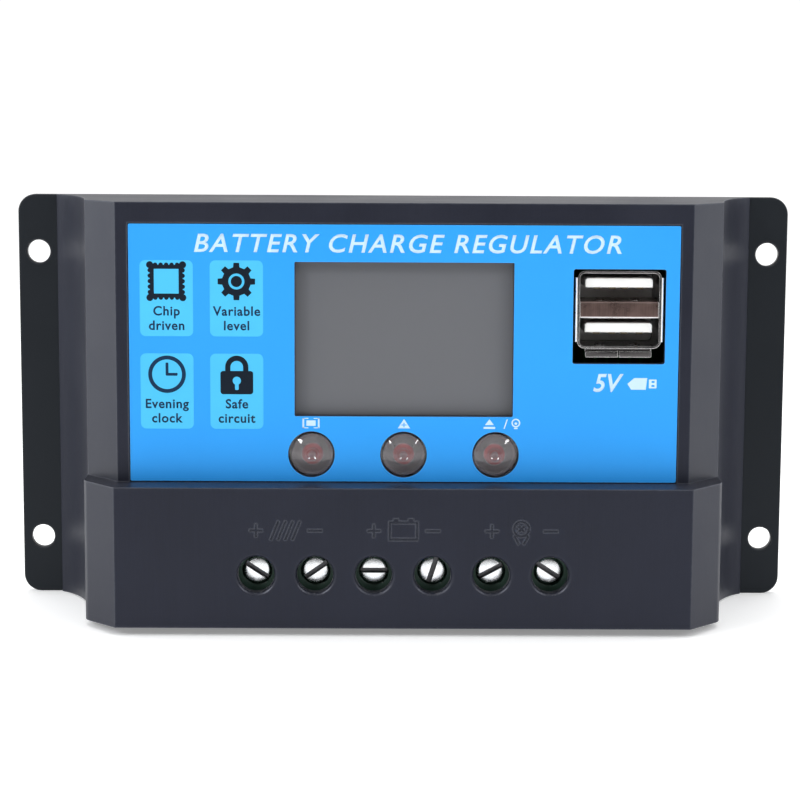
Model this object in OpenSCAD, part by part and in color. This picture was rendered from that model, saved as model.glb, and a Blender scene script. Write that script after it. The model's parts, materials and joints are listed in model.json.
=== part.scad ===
// Wall-mounted solar charge controller: a plastic housing on a steel plate, with a display,
// three push buttons, a double USB socket and six clamp-screw terminals.
// X runs to the right, Z runs up and the front faces -Y. The back face lies at Y = 0 and
// every depth is measured forwards from it. X = 0, Z = 0 is the middle of the back face.

/* [Overall] */
// Width of the housing where it meets the plate
housing_w = 120; // [114:1:150]
// Height of the housing and of the plate
housing_h = 70; // [69:1:90]
// Depth to the front of the terminal section
terminal_d = 35; // [34:0.5:44]
// How far the terminal section stands in front of the display panel
terminal_step = 5.8; // [4:0.1:7]
// Height of the terminal section above the bottom of the plate
terminal_h = 24.3; // [23:0.1:30]

/* [Plate and mounting] */
// Thickness of the back plate
plate_t = 1.5; // [1.5:0.1:3]
// Width of the mounting flange on each side of the housing
flange_w = 6.75; // [5.5:0.25:12]
// Corner radius of the plate
plate_corner_r = 3; // [1:0.5:5]
// Diameter of the wall mounting holes
mount_hole_d = 4; // [3:0.1:5]
// Distance from the plate's side edge to the middle of the mounting holes
mount_hole_edge = 3.45; // [2.75:0.05:4]
// Distance between the upper and the lower mounting holes
mount_hole_pitch = 50.2; // [40:0.2:60]

/* [Housing shell] */
// Thickness of the front and side walls
wall = 2; // [1.6:0.1:2.5]
// Thickness of the top and bottom walls at the plate
rim_wall = 2.5; // [2.1:0.1:3]
// Width taken by the hollow curve on each side
cove_w = 7.6; // [5.5:0.1:9]
// Width taken by the front chamfer on each side
chamfer_w = 5.8; // [4:0.1:7]
// Depth taken by the front chamfer
chamfer_d = 7; // [5:0.1:9]
// How far the top wall leans in towards the front
top_draft = 0.2; // [0:0.1:0.8]
// How far the bottom wall leans in towards the front
bottom_draft = 1.3; // [0:0.1:1.5]
// Diameter of the corner posts that take the housing screws
corner_post_d = 6; // [5:0.5:7]
// Diameter of the posts that carry the circuit board
board_post_d = 5.5; // [4.5:0.5:6.5]

/* [Display panel] */
// Margin between the label and each side of the panel
label_side_margin = 2.1; // [1.5:0.1:4]
// Margin between the label and the top of the panel
label_top_margin = 3.5; // [2:0.1:5]
// Thickness of the printed label
label_t = 0.3; // [0.2:0.05:0.4]
// Depth of the pocket that the label lies in
label_pocket = 0.4; // [0.4:0.05:0.6]
// Width of the display window
window_w = 35.4; // [28:0.2:42.6]
// Height of the display window
window_h = 25; // [20:0.2:27]
// Distance from the terminal step up to the display window
window_rise = 10.9; // [10.5:0.1:14]
// Thickness of the display glass
glass_t = 2.8; // [2:0.1:3.5]

/* [Buttons] */
// Diameter of the button holes
button_hole_d = 7.5; // [6:0.1:9]
// Clearance round each button cap
button_gap = 0.3; // [0.25:0.05:0.45]
// Distance between neighbouring button holes
button_pitch = 15; // [12:0.5:18]
// How much closer together the switches and their caps stand than the holes
switch_pull = 0.15; // [0:0.05:0.2]
// Distance from the terminal step up to the middle of the buttons
button_rise = 4.6; // [4:0.1:5]
// Travel of each button
button_travel = 0.35; // [0.2:0.05:0.6]
// Diameter of the switch stems
stem_d = 3.3; // [2.6:0.1:4]

/* [USB socket] */
// Width of the opening round the USB socket
usb_open_w = 14.9; // [14.5:0.1:18]
// Height of the opening round the USB socket
usb_open_h = 15.3; // [14.6:0.1:18.4]
// Distance from the label's right edge to the middle of the USB socket
usb_side = 9.7; // [9:0.1:12]
// Distance from the terminal step up to the middle of the USB opening
usb_rise = 27.3; // [24:0.1:30]
// Width of the USB shell
usb_shell_w = 13.6; // [13:0.1:13.8]
// Height of the USB shell
usb_shell_h = 12.6; // [12:0.1:13.5]

/* [Terminals] */
// Distance between neighbouring terminals
terminal_pitch = 9.5; // [9.2:0.1:11.5]
// Height of the terminal screws above the bottom of the plate
screw_rise = 10.1; // [9.6:0.1:12]
// Diameter of the screwdriver holes in the housing
driver_hole_d = 5.9; // [5:0.1:7.2]
// Diameter of the terminal screw heads
head_d = 4.3; // [3.6:0.1:5.2]
// Diameter of the terminal screw shanks
shank_d = 3.4; // [2.8:0.1:3.5]
// Width of the clamp cages
cage_w = 7; // [6.8:0.1:7.4]
// Clear height inside the clamp cages with the clamp open
wire_gap = 4.7; // [4.5:0.1:5]
// Travel of the clamp cages
clamp_travel = 4.2; // [2.8:0.1:4.2]

/* [Circuit board] */
// Depth of the circuit board's back face
board_d = 10.4; // [10:0.1:11]
// Thickness of the circuit board
board_t = 1.6; // [1.2:0.1:2]

/* [Hidden] */
$fn = 48;

// Overreach of every cut, and the small gaps between pieces
cut = 1;
touch_gap = 0.05;
slip_gap = 0.1;
part_gap = 0.3;

// Housing outline
plate_w = housing_w + 2 * flange_w;
bottom_z = -housing_h / 2;
top_z = housing_h / 2;
step_z = bottom_z + terminal_h;
panel_d = terminal_d - terminal_step;
skirt_x = housing_w / 2;
skirt_h = 0.5;
cove_x = skirt_x - cove_w;
front_x = cove_x - chamfer_w;
cove_d = panel_d - chamfer_d;
cove_pull = [2, 5];
cove_steps = 10;
inner_bottom_z = bottom_z + rim_wall;
inner_top_z = top_z - rim_wall;

// Posts and the screws in them
corner_inset = [2.6, 5];
corner_x = cove_x - corner_inset.x;
corner_z = housing_h / 2 - corner_inset.y;
corner_post_clear = 6.2;
corner_post_front = cove_d - corner_post_clear;
corner_pilot_d = 3;
corner_screw_d = 2.9;
corner_head_d = 5.6;
corner_screw_l = 8;
board_gap = 0.8;
board_w = 2 * (corner_x - corner_post_d / 2 - board_gap);
board_front = board_d + board_t;
board_z0 = inner_bottom_z + board_gap;
board_z1 = inner_top_z - board_gap;
board_post_inset = [3.5, 3.3];
board_post_x = board_w / 2 - board_post_inset.x;
board_post_z = board_z1 - board_post_inset.y;
board_pilot_d = 2.2;
board_screw_d = 2.1;
board_hole_d = 2.6;
board_head_d = 4.2;
board_head_t = 1.6;
board_screw_l = 6;
pilot_l = 9;

// Label and display
label_x = front_x - label_side_margin;
label_top_z = top_z - top_draft - label_top_margin;
pocket_margin = 0.15;
window_z = step_z + window_rise + window_h / 2;
glass_margin = 3.6;
glass_margin_top = 2.8;
glass_margin_bottom = 1.4;
glass_w = window_w + 2 * glass_margin;
glass_front = panel_d - wall - touch_gap;
glass_back = glass_front - glass_t;
glass_top_z = min(window_z + window_h / 2 + glass_margin_top, inner_top_z - part_gap);
backlight_t = 2.6;
backlight_margin = 1;
nest_t = 1.1;
nest_clear = 1.5;
pin_count = 14;
pin_w = 0.5;
pin_pitch = 2.54;
pin_hole_d = pin_w * sqrt(2) + 2 * slip_gap;
pin_inset = 1.2;
pin_z = glass_top_z - pin_inset;
pin_tail = 1;

// Buttons: one depth per level, from the board to the cap
button_xs = [-button_pitch, 0, button_pitch];
switch_xs = [-button_pitch + switch_pull, 0, button_pitch - switch_pull];
button_z = step_z + button_rise;
cap_d = button_hole_d - 2 * button_gap;
cap_proud = 0.2;
cap_front = panel_d + cap_proud;
cap_flange_w = 0.8;
cap_flange_d = cap_d + 2 * cap_flange_w;
cap_flange_front = panel_d - wall - touch_gap;
cap_flange_t = 0.8;
cap_skirt_l = 3;
cap_skirt_t = 1;
cap_crown_t = 1.3;
socket_gap = 0.03;
stem_front = cap_front - cap_crown_t;
switch_w = 6;
switch_t = 3.5;
stem_sink = 0.6;
stem_back = board_front + switch_t - stem_sink;
glass_bottom_z = max(step_z + window_rise - glass_margin_bottom,
    button_z + cap_flange_d / 2 + part_gap);

// USB socket
usb_x = label_x - usb_side;
usb_z = step_z + usb_rise;
usb_gap = 0.25;
usb_sheet = 0.4;
usb_recess = 0.3;
usb_front = panel_d - usb_recess;
usb_top_z = usb_z + usb_open_h / 2 - usb_gap;
usb_mid_z = usb_top_z - usb_shell_h / 2;
usb_corner_r = 1.2;
usb_band_h = 2.8;
usb_band_l = 8;
usb_port_h = (usb_shell_h - 2 * usb_sheet - usb_band_h) / 2;
usb_tongue_w = 11;
usb_tongue_t = 1.6;
usb_tongue_rise = 0.7;
usb_tongue_back = 1;
usb_port_l = 9.5;
usb_core_front = usb_front - usb_port_l;
usb_contact_xs = [-3.5, -1, 1, 3.5];
usb_contact_w = 1;
usb_contact_t = 0.25;
usb_contact_inset = 0.8;
usb_lip = 0.4;
usb_lip_l = 0.9;
usb_lip_cut = 1.1;
usb_foot_w = 10.8;
usb_foot_drop = 1.5;

// Terminals: one depth per level, from the board to the screw heads
terminal_count = 6;
slot_angles = [-33, 35, 0, 72, 28, -33];
screw_z = bottom_z + screw_rise;
block_gap = 1.5;
block_front = terminal_d - wall - block_gap;
block_h = 13.6;
block_z0 = inner_bottom_z + part_gap;
block_z1 = block_z0 + block_h;
block_side = 1.1;
block_w = terminal_count * terminal_pitch + 2 * block_side;
floor_t = 1.2;
cage_rest_gap = 0.2;
cage_floor = board_front + floor_t + cage_rest_gap;
cage_t = 1.2;
cage_side = 1;
cage_l = 6;
cage_head_t = 2.4;
bar_t = 1.2;
bar_w = cage_w - 2 * cage_side - 2 * part_gap;
bar_back = cage_floor + cage_t + wire_gap;
bar_front = bar_back + bar_t;
cage_head_back = bar_front + part_gap;
cage_front = cage_head_back + cage_head_t;
bar_overhang = 1.5;
bar_cover = 0.8;
bar_z0 = screw_z - cage_l / 2 - bar_overhang;
bar_z1 = block_z1 - bar_cover;
leg_w = 3;
leg_tail = 1;
leg_z = bar_z1 - bar_t / 2;
head_sink = 0.5;
head_t = 2.2;
head_back = block_front - head_sink - head_t;
roof_t = 1.2;
chamber_front = min(cage_front + clamp_travel + cage_rest_gap, head_back - roof_t);
slot_w = 0.9;
slot_d = 1;
entry_w = 5.4;
wire_hole_w = 6.6;
wire_hole_back = cage_floor;
wire_hole_front = bar_front + slip_gap;
driver_rim = 0.4;

// Marks above the terminals
mark_d = 0.2;
mark_w = 0.45;
mark_rise = 7.3;
mark_z = screw_z + mark_rise;
plus_l = 2.2;
minus_l = 2.4;
panel_bars = 4;
panel_bar_step = 1.15;
panel_bar_l = 3.4;
panel_bar_turn = 68;
battery_w = 4.8;
battery_h = 3.2;
battery_knob_w = 0.9;
battery_sign_w = 1.1;
lamp_d = 2.8;
lamp_rise = 0.4;
lamp_bases = [[1.2, -1.5], [0.8, -2.2]];

// Power transistors on the plate
transistor_xs = [-24, -8, 8, 24];
pad_t = 0.3;
pad_margin = [1, 0.6];
tab_w = 10;
tab_h = 15.4;
tab_t = 1.3;
body_h = 9.2;
body_t = 3.2;
tab_z0 = -2;
lead_xs = [-2.54, 0, 2.54];
lead_w = 0.8;
lead_t = 0.6;
lead_reach = 3.4;
tab_back = plate_t + pad_t;
tab_front = tab_back + tab_t;
body_front = tab_front + body_t;
lead_z = tab_z0 - lead_reach + lead_t / 2;
lead_rise = 1;
lead_back = tab_front + lead_rise;
lead_hole_d = 1.4;
clamp_t = 1.5;
clamp_rise = 5.5;
clamp_z = tab_z0 + clamp_rise;
clamp_end = 3;
clamp_h = 6;
clamp_screw_x = 32;
clamp_screw_d = 2.9;
clamp_tap_d = 3;
clamp_head_d = 5.2;
clamp_head_t = 1.2;
lead_tail = 0.8;
tab_hole_d = 3.6;
tab_hole_inset = 3;

// Board components
can_places = [[-34, 23, 10, 14], [-34, 11, 10, 14], [35, -4, 8, 11]];
coil_x = -35;
coil_z = -4;
coil_d = 12;
coil_t = 7;
coil_flange = 1.2;
coil_core_d = 6;
winding_inset = 0.5;
micro_z = 11;
micro_w = 10;
chip_t = 1.5;
chip_stand = 0.15;
chip_lead_l = 1;
chip_lead_w = 0.45;
chip_lead_pitch = 1.1;
micro_leads = 8;
regulator_leads = 4;
regulator_x = 22;
regulator_z = 4;
regulator_w = 5;
regulator_h = 4;
diode_x = -(block_w + board_w) / 4;
diode_zs = [-14, -20];
diode_d = 5;
diode_l = 9;
shunt_x = 36;
shunt_z = -14;
shunt_w = 12;
shunt_l = 3;
shunt_t = 1;
shunt_rise = 3;
crystal_x = -13;
crystal_z = 2.5;
crystal_d = 4.2;
crystal_w = 7;
crystal_t = 3.4;
resistor_count = 7;
resistor_x = -18;
resistor_z = 20.5;
resistor_pitch = 3.2;
resistor_w = 1.25;
resistor_l = 2;
resistor_t = 0.6;
bead_x = -42.5;
bead_z = 2.5;
bead_d = 2.4;
bead_rise = 3.2;
bead_leg_d = 0.5;

function terminal_x(i) = (i - (terminal_count - 1) / 2) * terminal_pitch;

// A box around x, z that spans two depths
module block(x, z, w, h, back, front) {
    translate([x - w / 2, -front, z - h / 2])
        cube([w, front - back, h]);
}

// A rod along the depth axis
module rod(x, z, d, back, front) {
    translate([x, -back, z])
        rotate([90, 0, 0])
            cylinder(d = d, h = front - back);
}

// A cone along the depth axis
module taper(x, z, back_d, front_d, back, front) {
    translate([x, -back, z])
        rotate([90, 0, 0])
            cylinder(d1 = back_d, d2 = front_d, h = front - back);
}

// Places the children at the four corners of a rectangle
module at_corners(x, z) {
    for (sx = [-1, 1])
        for (sz = [-1, 1])
            translate([sx * x, 0, sz * z])
                children();
}

// ---- Plate ----

module back_plate() {
    color("#222427")
        difference() {
            translate([0, -plate_t, 0])
                rotate([-90, 0, 0])
                    linear_extrude(plate_t)
                        rounded_outline(plate_w, housing_h, plate_corner_r);
            at_corners(plate_w / 2 - mount_hole_edge, mount_hole_pitch / 2)
                rod(0, 0, mount_hole_d, -cut, plate_t + cut);
            at_corners(corner_x, corner_z)
                taper(0, 0, corner_head_d, corner_screw_d + 2 * slip_gap, 0, plate_t);
            for (side = [-1, 1])
                rod(side * clamp_screw_x, clamp_z, clamp_tap_d, -cut, plate_t + cut);
        }
}

module rounded_outline(w, h, r) {
    square([w - 2 * r, h], center = true);
    square([w, h - 2 * r], center = true);
    for (sx = [-1, 1])
        for (sy = [-1, 1])
            translate([sx * (w / 2 - r), sy * (h / 2 - r)])
                circle(r);
}

// ---- Housing ----

// The hollow curve from the skirt up to the chamfer, as a quadratic curve
function cove_point(t) =
    let (u = 1 - t)
    let (from = [skirt_x, plate_t + skirt_h])
    let (pull = [cove_x + cove_pull.x, plate_t + cove_pull.y])
    u * u * from + 2 * u * t * pull + t * t * [cove_x, cove_d];

// One side of the section: half width against depth, moved in by the wall
function side_points(front, inset) = concat(
    [[skirt_x - inset, plate_t - (inset > 0 ? cut : 0)]],
    [for (i = [0:cove_steps]) cove_point(i / cove_steps) - [inset, 0]],
    front > panel_d ? [[cove_x - inset, front - chamfer_d]] : [],
    [[front_x + inset * (chamfer_w / chamfer_d - 1), front - inset]]
);

module section(front, inset) {
    side = side_points(front, inset);
    last = len(side) - 1;
    right = [for (p = side) [p.x, -p.y]];
    left = [for (i = [last:-1:0]) [-side[i].x, -side[i].y]];
    polygon(concat(right, left));
}

module section_slab(front, inset, z0, z1) {
    translate([0, 0, z0])
        linear_extrude(z1 - z0)
            section(front, inset);
}

// The draft of the top and bottom walls, seen from the side
module draft_prism() {
    translate([-skirt_x - cut, 0, 0])
        rotate([90, 0, 90])
            linear_extrude(housing_w + 2 * cut)
                polygon([
                    [-plate_t, bottom_z],
                    [-plate_t, top_z],
                    [-panel_d, top_z - top_draft],
                    [-terminal_d, top_z - top_draft],
                    [-terminal_d, bottom_z + bottom_draft]
                ]);
}

module housing_solid() {
    intersection() {
        union() {
            section_slab(panel_d, 0, bottom_z, top_z);
            section_slab(terminal_d, 0, bottom_z, step_z);
        }
        draft_prism();
    }
}

module housing_cavity() {
    section_slab(panel_d, wall, inner_bottom_z, inner_top_z);
    section_slab(terminal_d, wall, inner_bottom_z, step_z - wall);
}

module housing_posts() {
    at_corners(corner_x, corner_z)
        rod(0, 0, corner_post_d, plate_t, corner_post_front);
    for (side = [-1, 1]) {
        rod(side * board_post_x, board_post_z, board_post_d, board_front, panel_d - wall / 2);
        rod(side * board_post_x, -board_post_z, board_post_d, board_front, terminal_d - wall / 2);
    }
}

// Ribs that hold the display glass sideways
module display_nest() {
    nest_x = glass_w / 2 + slip_gap + nest_t / 2;
    nest_h = glass_top_z - glass_bottom_z - 2 * nest_clear;
    for (side = [-1, 1])
        block(side * nest_x, (glass_top_z + glass_bottom_z) / 2, nest_t, nest_h, glass_back,
            panel_d - wall / 2);
}

module front_housing() {
    color("#2a2c30")
        difference() {
            union() {
                difference() {
                    housing_solid();
                    housing_cavity();
                }
                housing_posts();
                display_nest();
            }
            at_corners(corner_x, corner_z)
                rod(0, 0, corner_pilot_d, plate_t - cut, plate_t + pilot_l);
            at_corners(board_post_x, board_post_z)
                rod(0, 0, board_pilot_d, board_front - cut, board_front + pilot_l);
            label_pocket_cut();
            panel_openings(0, panel_d - wall - cut, panel_d + cut);
            terminal_openings();
            terminal_marks();
        }
}

module label_pocket_cut() {
    pocket_h = label_top_z + pocket_margin - step_z;
    block(0, step_z + pocket_h / 2, 2 * (label_x + pocket_margin), pocket_h,
        panel_d - label_pocket, panel_d + cut);
}

// Window, USB opening and button holes, shared by the housing and its label
module panel_openings(grow, back, front) {
    block(0, window_z, window_w + grow, window_h + grow, back, front);
    block(usb_x, usb_z, usb_open_w + grow, usb_open_h + grow, back, front);
    for (x = button_xs)
        rod(x, button_z, button_hole_d + grow, back, front);
}

// Screwdriver holes in the front and wire holes in the bottom wall
module terminal_openings() {
    for (i = [0:terminal_count - 1]) {
        rod(terminal_x(i), screw_z, driver_hole_d, terminal_d - wall - cut, terminal_d + cut);
        taper(terminal_x(i), screw_z, driver_hole_d, driver_hole_d + 2 * driver_rim,
            terminal_d - driver_rim, terminal_d);
        block(terminal_x(i), bottom_z, wire_hole_w, 2 * rim_wall + cut, wire_hole_back,
            wire_hole_front);
    }
}

// Shallow marks above the terminals: plus and minus signs, panel, battery and lamp
module mark_bar(x, z, w, h, turn) {
    translate([x, 0, z])
        rotate([0, -turn, 0])
            block(0, 0, w, h, terminal_d - mark_d, terminal_d + cut);
}

module mark_ring(x, z, d) {
    difference() {
        rod(x, z, d, terminal_d - mark_d, terminal_d + cut);
        rod(x, z, d - 2 * mark_w, terminal_d - mark_d - cut, terminal_d + 2 * cut);
    }
}

module terminal_marks() {
    for (pair = [0:2]) {
        plus_x = terminal_x(2 * pair);
        minus_x = terminal_x(2 * pair + 1);
        mark_bar(plus_x, mark_z, plus_l, mark_w, 0);
        mark_bar(plus_x, mark_z, plus_l, mark_w, 90);
        mark_bar(minus_x, mark_z, minus_l, mark_w, 0);
    }
    panel_mark((terminal_x(0) + terminal_x(1)) / 2);
    battery_mark((terminal_x(2) + terminal_x(3)) / 2);
    lamp_mark((terminal_x(4) + terminal_x(5)) / 2);
}

module panel_mark(x) {
    for (i = [0:panel_bars - 1])
        mark_bar(x + (i - (panel_bars - 1) / 2) * panel_bar_step, mark_z, panel_bar_l, mark_w,
            panel_bar_turn);
}

module battery_mark(x) {
    knob_z = mark_z + (battery_h + mark_w) / 2;
    for (side = [-1, 1]) {
        mark_bar(x, mark_z + side * (battery_h - mark_w) / 2, battery_w, mark_w, 0);
        mark_bar(x + side * (battery_w - mark_w) / 2, mark_z, battery_h, mark_w, 90);
        mark_bar(x + side * battery_w / 4, knob_z, battery_knob_w, mark_w, 0);
        mark_bar(x + side * battery_w / 4, mark_z, battery_sign_w, mark_w, 0);
    }
}

module lamp_mark(x) {
    mark_ring(x, mark_z + lamp_rise, lamp_d);
    for (base = lamp_bases)
        mark_bar(x, mark_z + base[1], base[0], mark_w, 0);
}

module housing_screws() {
    color("#b9bcc0")
        at_corners(corner_x, corner_z) {
            taper(0, 0, corner_head_d - 2 * touch_gap, corner_screw_d, 0, plate_t);
            rod(0, 0, corner_screw_d, plate_t, corner_screw_l);
        }
}

// ---- Label and display ----

module face_label() {
    label_z0 = step_z + pocket_margin;
    color("#3dacff")
        difference() {
            block(0, (label_top_z + label_z0) / 2, 2 * label_x, label_top_z - label_z0,
                panel_d - label_pocket, panel_d - label_pocket + label_t);
            panel_openings(0, panel_d - wall, panel_d + cut);
        }
}

module display_glass() {
    color("#717376")
        block(0, (glass_top_z + glass_bottom_z) / 2, glass_w, glass_top_z - glass_bottom_z,
            glass_back, glass_front);
}

module display_backlight() {
    top_z = pin_z - backlight_margin;
    color("#f4f4f0")
        block(0, (top_z + glass_bottom_z) / 2, glass_w - 2 * backlight_margin,
            top_z - glass_bottom_z, glass_back - backlight_t, glass_back);
}

function pin_x(i) = (i - (pin_count - 1) / 2) * pin_pitch;

module display_pins() {
    color("#c9ccd0")
        for (i = [0:pin_count - 1])
            block(pin_x(i), pin_z, pin_w, pin_w, board_d - pin_tail, glass_back);
}

// ---- Circuit board ----

module main_board() {
    color("#2f6b3c")
        difference() {
            block(0, (board_z0 + board_z1) / 2, board_w, board_z1 - board_z0, board_d, board_front);
            at_corners(board_post_x, board_post_z)
                rod(0, 0, board_hole_d, board_d - cut, board_front + cut);
            for (i = [0:pin_count - 1])
                rod(pin_x(i), pin_z, pin_hole_d, board_d - cut, board_front + cut);
            for (i = [0:terminal_count - 1])
                block(terminal_x(i), leg_z, leg_w + 2 * slip_gap, bar_t + 2 * slip_gap,
                    board_d - cut, board_front + cut);
            for (x = transistor_xs)
                for (lead_x = lead_xs)
                    rod(x + lead_x, lead_z, lead_hole_d, board_d - cut, board_front + cut);
        }
}

module board_screws() {
    color("#b9bcc0")
        at_corners(board_post_x, board_post_z) {
            rod(0, 0, board_head_d, board_d - board_head_t, board_d);
            rod(0, 0, board_screw_d, board_d, board_front + board_screw_l);
        }
}

module capacitors() {
    color("#2c3038")
        for (place = can_places)
            rod(place[0], place[1], place[2], board_front, board_front + place[3]);
}

module inductor_core() {
    color("#44464a")
        difference() {
            rod(coil_x, coil_z, coil_d, board_front, board_front + coil_t);
            difference() {
                rod(coil_x, coil_z, coil_d + cut, board_front + coil_flange,
                    board_front + coil_t - coil_flange);
                rod(coil_x, coil_z, coil_core_d, board_front, board_front + coil_t);
            }
        }
}

module inductor_winding() {
    color("#b5622e")
        difference() {
            rod(coil_x, coil_z, coil_d - 2 * winding_inset, board_front + coil_flange,
                board_front + coil_t - coil_flange);
            rod(coil_x, coil_z, coil_core_d + 2 * slip_gap, board_front, board_front + coil_t);
        }
}

module microcontroller() {
    color("#1d1e20")
        block(0, micro_z, micro_w, micro_w, board_front + chip_stand,
            board_front + chip_stand + chip_t);
}

module regulator_chip() {
    color("#1d1e20")
        block(regulator_x, regulator_z, regulator_w, regulator_h, board_front + chip_stand,
            board_front + chip_stand + chip_t);
}

// A row of flat leads beside a chip, along X
module lead_row(x, z, count) {
    for (i = [0:count - 1])
        block(x + (i - (count - 1) / 2) * chip_lead_pitch, z, chip_lead_w, chip_lead_l,
            board_front, board_front + 2 * chip_stand);
}

module chip_leads() {
    reach = (micro_w + chip_lead_l) / 2;
    regulator_reach = (regulator_h + chip_lead_l) / 2;
    color("#c9ccd0") {
        for (side = [-1, 1]) {
            lead_row(0, micro_z + side * reach, micro_leads);
            lead_row(regulator_x, regulator_z + side * regulator_reach, regulator_leads);
        }
        translate([0, 0, micro_z])
            for (turn = [90, 270])
                rotate([0, turn, 0])
                    lead_row(0, reach, micro_leads);
    }
}

module crystal_can() {
    color("#c4c7cb") {
        block(crystal_x, crystal_z, crystal_w, crystal_d, board_front, board_front + crystal_t);
        for (side = [-1, 1])
            rod(crystal_x + side * crystal_w / 2, crystal_z, crystal_d, board_front,
                board_front + crystal_t);
    }
}

module power_diodes() {
    color("#202124")
        for (z = diode_zs)
            translate([diode_x - diode_l / 2, -board_front - diode_d / 2, z])
                rotate([0, 90, 0])
                    cylinder(d = diode_d, h = diode_l);
}

module shunt_strap() {
    foot_x = (shunt_w - shunt_t) / 2;
    color("#b98b4e") {
        block(shunt_x, shunt_z, shunt_w, shunt_l, board_front + shunt_rise,
            board_front + shunt_rise + shunt_t);
        for (side = [-1, 1])
            block(shunt_x + side * foot_x, shunt_z, shunt_t, shunt_l, board_front,
                board_front + shunt_rise);
    }
}

module chip_resistors() {
    color("#303236")
        for (i = [0:resistor_count - 1])
            block(resistor_x + resistor_pitch * i, resistor_z, resistor_w, resistor_l,
                board_front, board_front + resistor_t);
}

module thermistor() {
    color("#3a3c40") {
        translate([bead_x, -board_front - bead_rise, bead_z])
            sphere(d = bead_d);
        for (side = [-1, 1])
            rod(bead_x + side * bead_d / 4, bead_z, bead_leg_d, board_front,
                board_front + bead_rise);
    }
}

// ---- Buttons ----

module switch_bodies() {
    color("#2b2c2e")
        for (x = switch_xs)
            difference() {
                block(x, button_z, switch_w, switch_w, board_front, board_front + switch_t);
                rod(x, button_z, stem_d + 2 * slip_gap, stem_back - button_travel - slip_gap,
                    board_front + switch_t + cut);
            }
}

module button_stem(x) {
    color("#c23a2e")
        rod(x, button_z, stem_d, stem_back, stem_front);
}

module button_cap(x) {
    flange_back = cap_flange_front - cap_flange_t;
    color("#dfe6ea", 0.6)
        difference() {
            union() {
                rod(x, button_z, cap_d, flange_back, cap_front);
                rod(x, button_z, cap_flange_d, flange_back, cap_flange_front);
                rod(x, button_z, stem_d + 2 * cap_skirt_t, flange_back - cap_skirt_l, flange_back);
            }
            rod(x, button_z, stem_d + 2 * socket_gap, flange_back - cap_skirt_l - cut, stem_front);
        }
}

module menu_cap() { button_cap(switch_xs[0]); }
module menu_stem() { button_stem(switch_xs[0]); }
module up_cap() { button_cap(switch_xs[1]); }
module up_stem() { button_stem(switch_xs[1]); }
module down_cap() { button_cap(switch_xs[2]); }
module down_stem() { button_stem(switch_xs[2]); }

// ---- USB socket ----

module usb_tube(w, h, r, back, front) {
    translate([usb_x, -back, usb_mid_z])
        rotate([90, 0, 0])
            linear_extrude(front - back)
                rounded_outline(w, h, r);
}

module usb_shell() {
    foot_z = usb_mid_z - usb_shell_h / 2 - usb_foot_drop / 2;
    color("#c8cbcf") {
        difference() {
            usb_tube(usb_shell_w, usb_shell_h, usb_corner_r, board_front, usb_front);
            usb_tube(usb_shell_w - 2 * usb_sheet, usb_shell_h - 2 * usb_sheet,
                usb_corner_r - usb_sheet, board_front - cut, usb_front + cut);
        }
        for (side = [-1, 1])
            block(usb_x + side * (usb_shell_w + usb_lip) / 2, usb_mid_z, usb_lip,
                usb_shell_h - 2 * usb_lip_cut, usb_front - usb_lip_l, usb_front);
        block(usb_x, foot_z, usb_foot_w, usb_foot_drop, usb_front - usb_lip_l,
            usb_front - usb_lip_l + usb_sheet);
    }
}

// The folded band between the two ports
module usb_divider() {
    band_w = usb_shell_w - 2 * usb_sheet - 2 * touch_gap;
    color("#8a7468")
        difference() {
            block(usb_x, usb_mid_z, band_w, usb_band_h, usb_front - usb_band_l, usb_front);
            block(usb_x, usb_mid_z, band_w + cut, usb_band_h - 2 * usb_sheet,
                usb_front - usb_band_l - cut, usb_front - usb_sheet);
        }
}

function port_z(side) = usb_mid_z + side * (usb_band_h + usb_port_h) / 2;

module usb_insulator() {
    core_w = usb_shell_w - 2 * usb_sheet - 2 * touch_gap;
    core_h = usb_shell_h - 2 * usb_sheet - 2 * touch_gap;
    color("#f5f5f2") {
        usb_tube(core_w, core_h, usb_corner_r - usb_sheet, board_front, usb_core_front);
        for (side = [-1, 1])
            block(usb_x, port_z(side) + usb_tongue_rise, usb_tongue_w, usb_tongue_t,
                usb_core_front, usb_front - usb_tongue_back);
    }
}

module usb_contacts() {
    drop = (usb_tongue_t + usb_contact_t) / 2;
    color("#d8b45a")
        for (side = [-1, 1])
            for (x = usb_contact_xs)
                block(usb_x + x, port_z(side) + usb_tongue_rise - drop, usb_contact_w,
                    usb_contact_t, usb_core_front,
                    usb_front - usb_tongue_back - usb_contact_inset);
}

// ---- Terminals ----

module terminal_block() {
    entry_back = cage_floor + cage_t - touch_gap;
    entry_d = bar_back - entry_back;
    bar_slot_w = bar_w + 2 * slip_gap;
    color("#3f7d4c")
        difference() {
            block(0, (block_z0 + block_z1) / 2, block_w, block_h, board_front, block_front);
            for (i = [0:terminal_count - 1])
                translate([terminal_x(i), 0, 0]) {
                    rod(0, screw_z, head_d + 2 * part_gap, head_back - touch_gap,
                        block_front + cut);
                    rod(0, screw_z, shank_d + 2 * slip_gap, chamber_front - cut,
                        block_front + cut);
                    block(0, screw_z, cage_w + 2 * part_gap, cage_l + 2 * part_gap,
                        board_front + floor_t, chamber_front);
                    translate([0, -entry_back - entry_d, block_z0 - cut])
                        translate([-entry_w / 2, 0, 0])
                            cube([entry_w, entry_d, screw_z - block_z0 + cut]);
                    bar_slot(bar_slot_w);
                    block(0, leg_z, leg_w + 2 * slip_gap, bar_t + 2 * slip_gap,
                        board_front - cut, bar_front);
                }
        }
}

// The slot that the contact bar lies in, across the chamber
module bar_slot(w) {
    translate([-w / 2, -bar_front - slip_gap, bar_z0 - slip_gap])
        cube([w, bar_t + slip_gap, bar_z1 - bar_z0 + 2 * slip_gap]);
}

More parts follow.
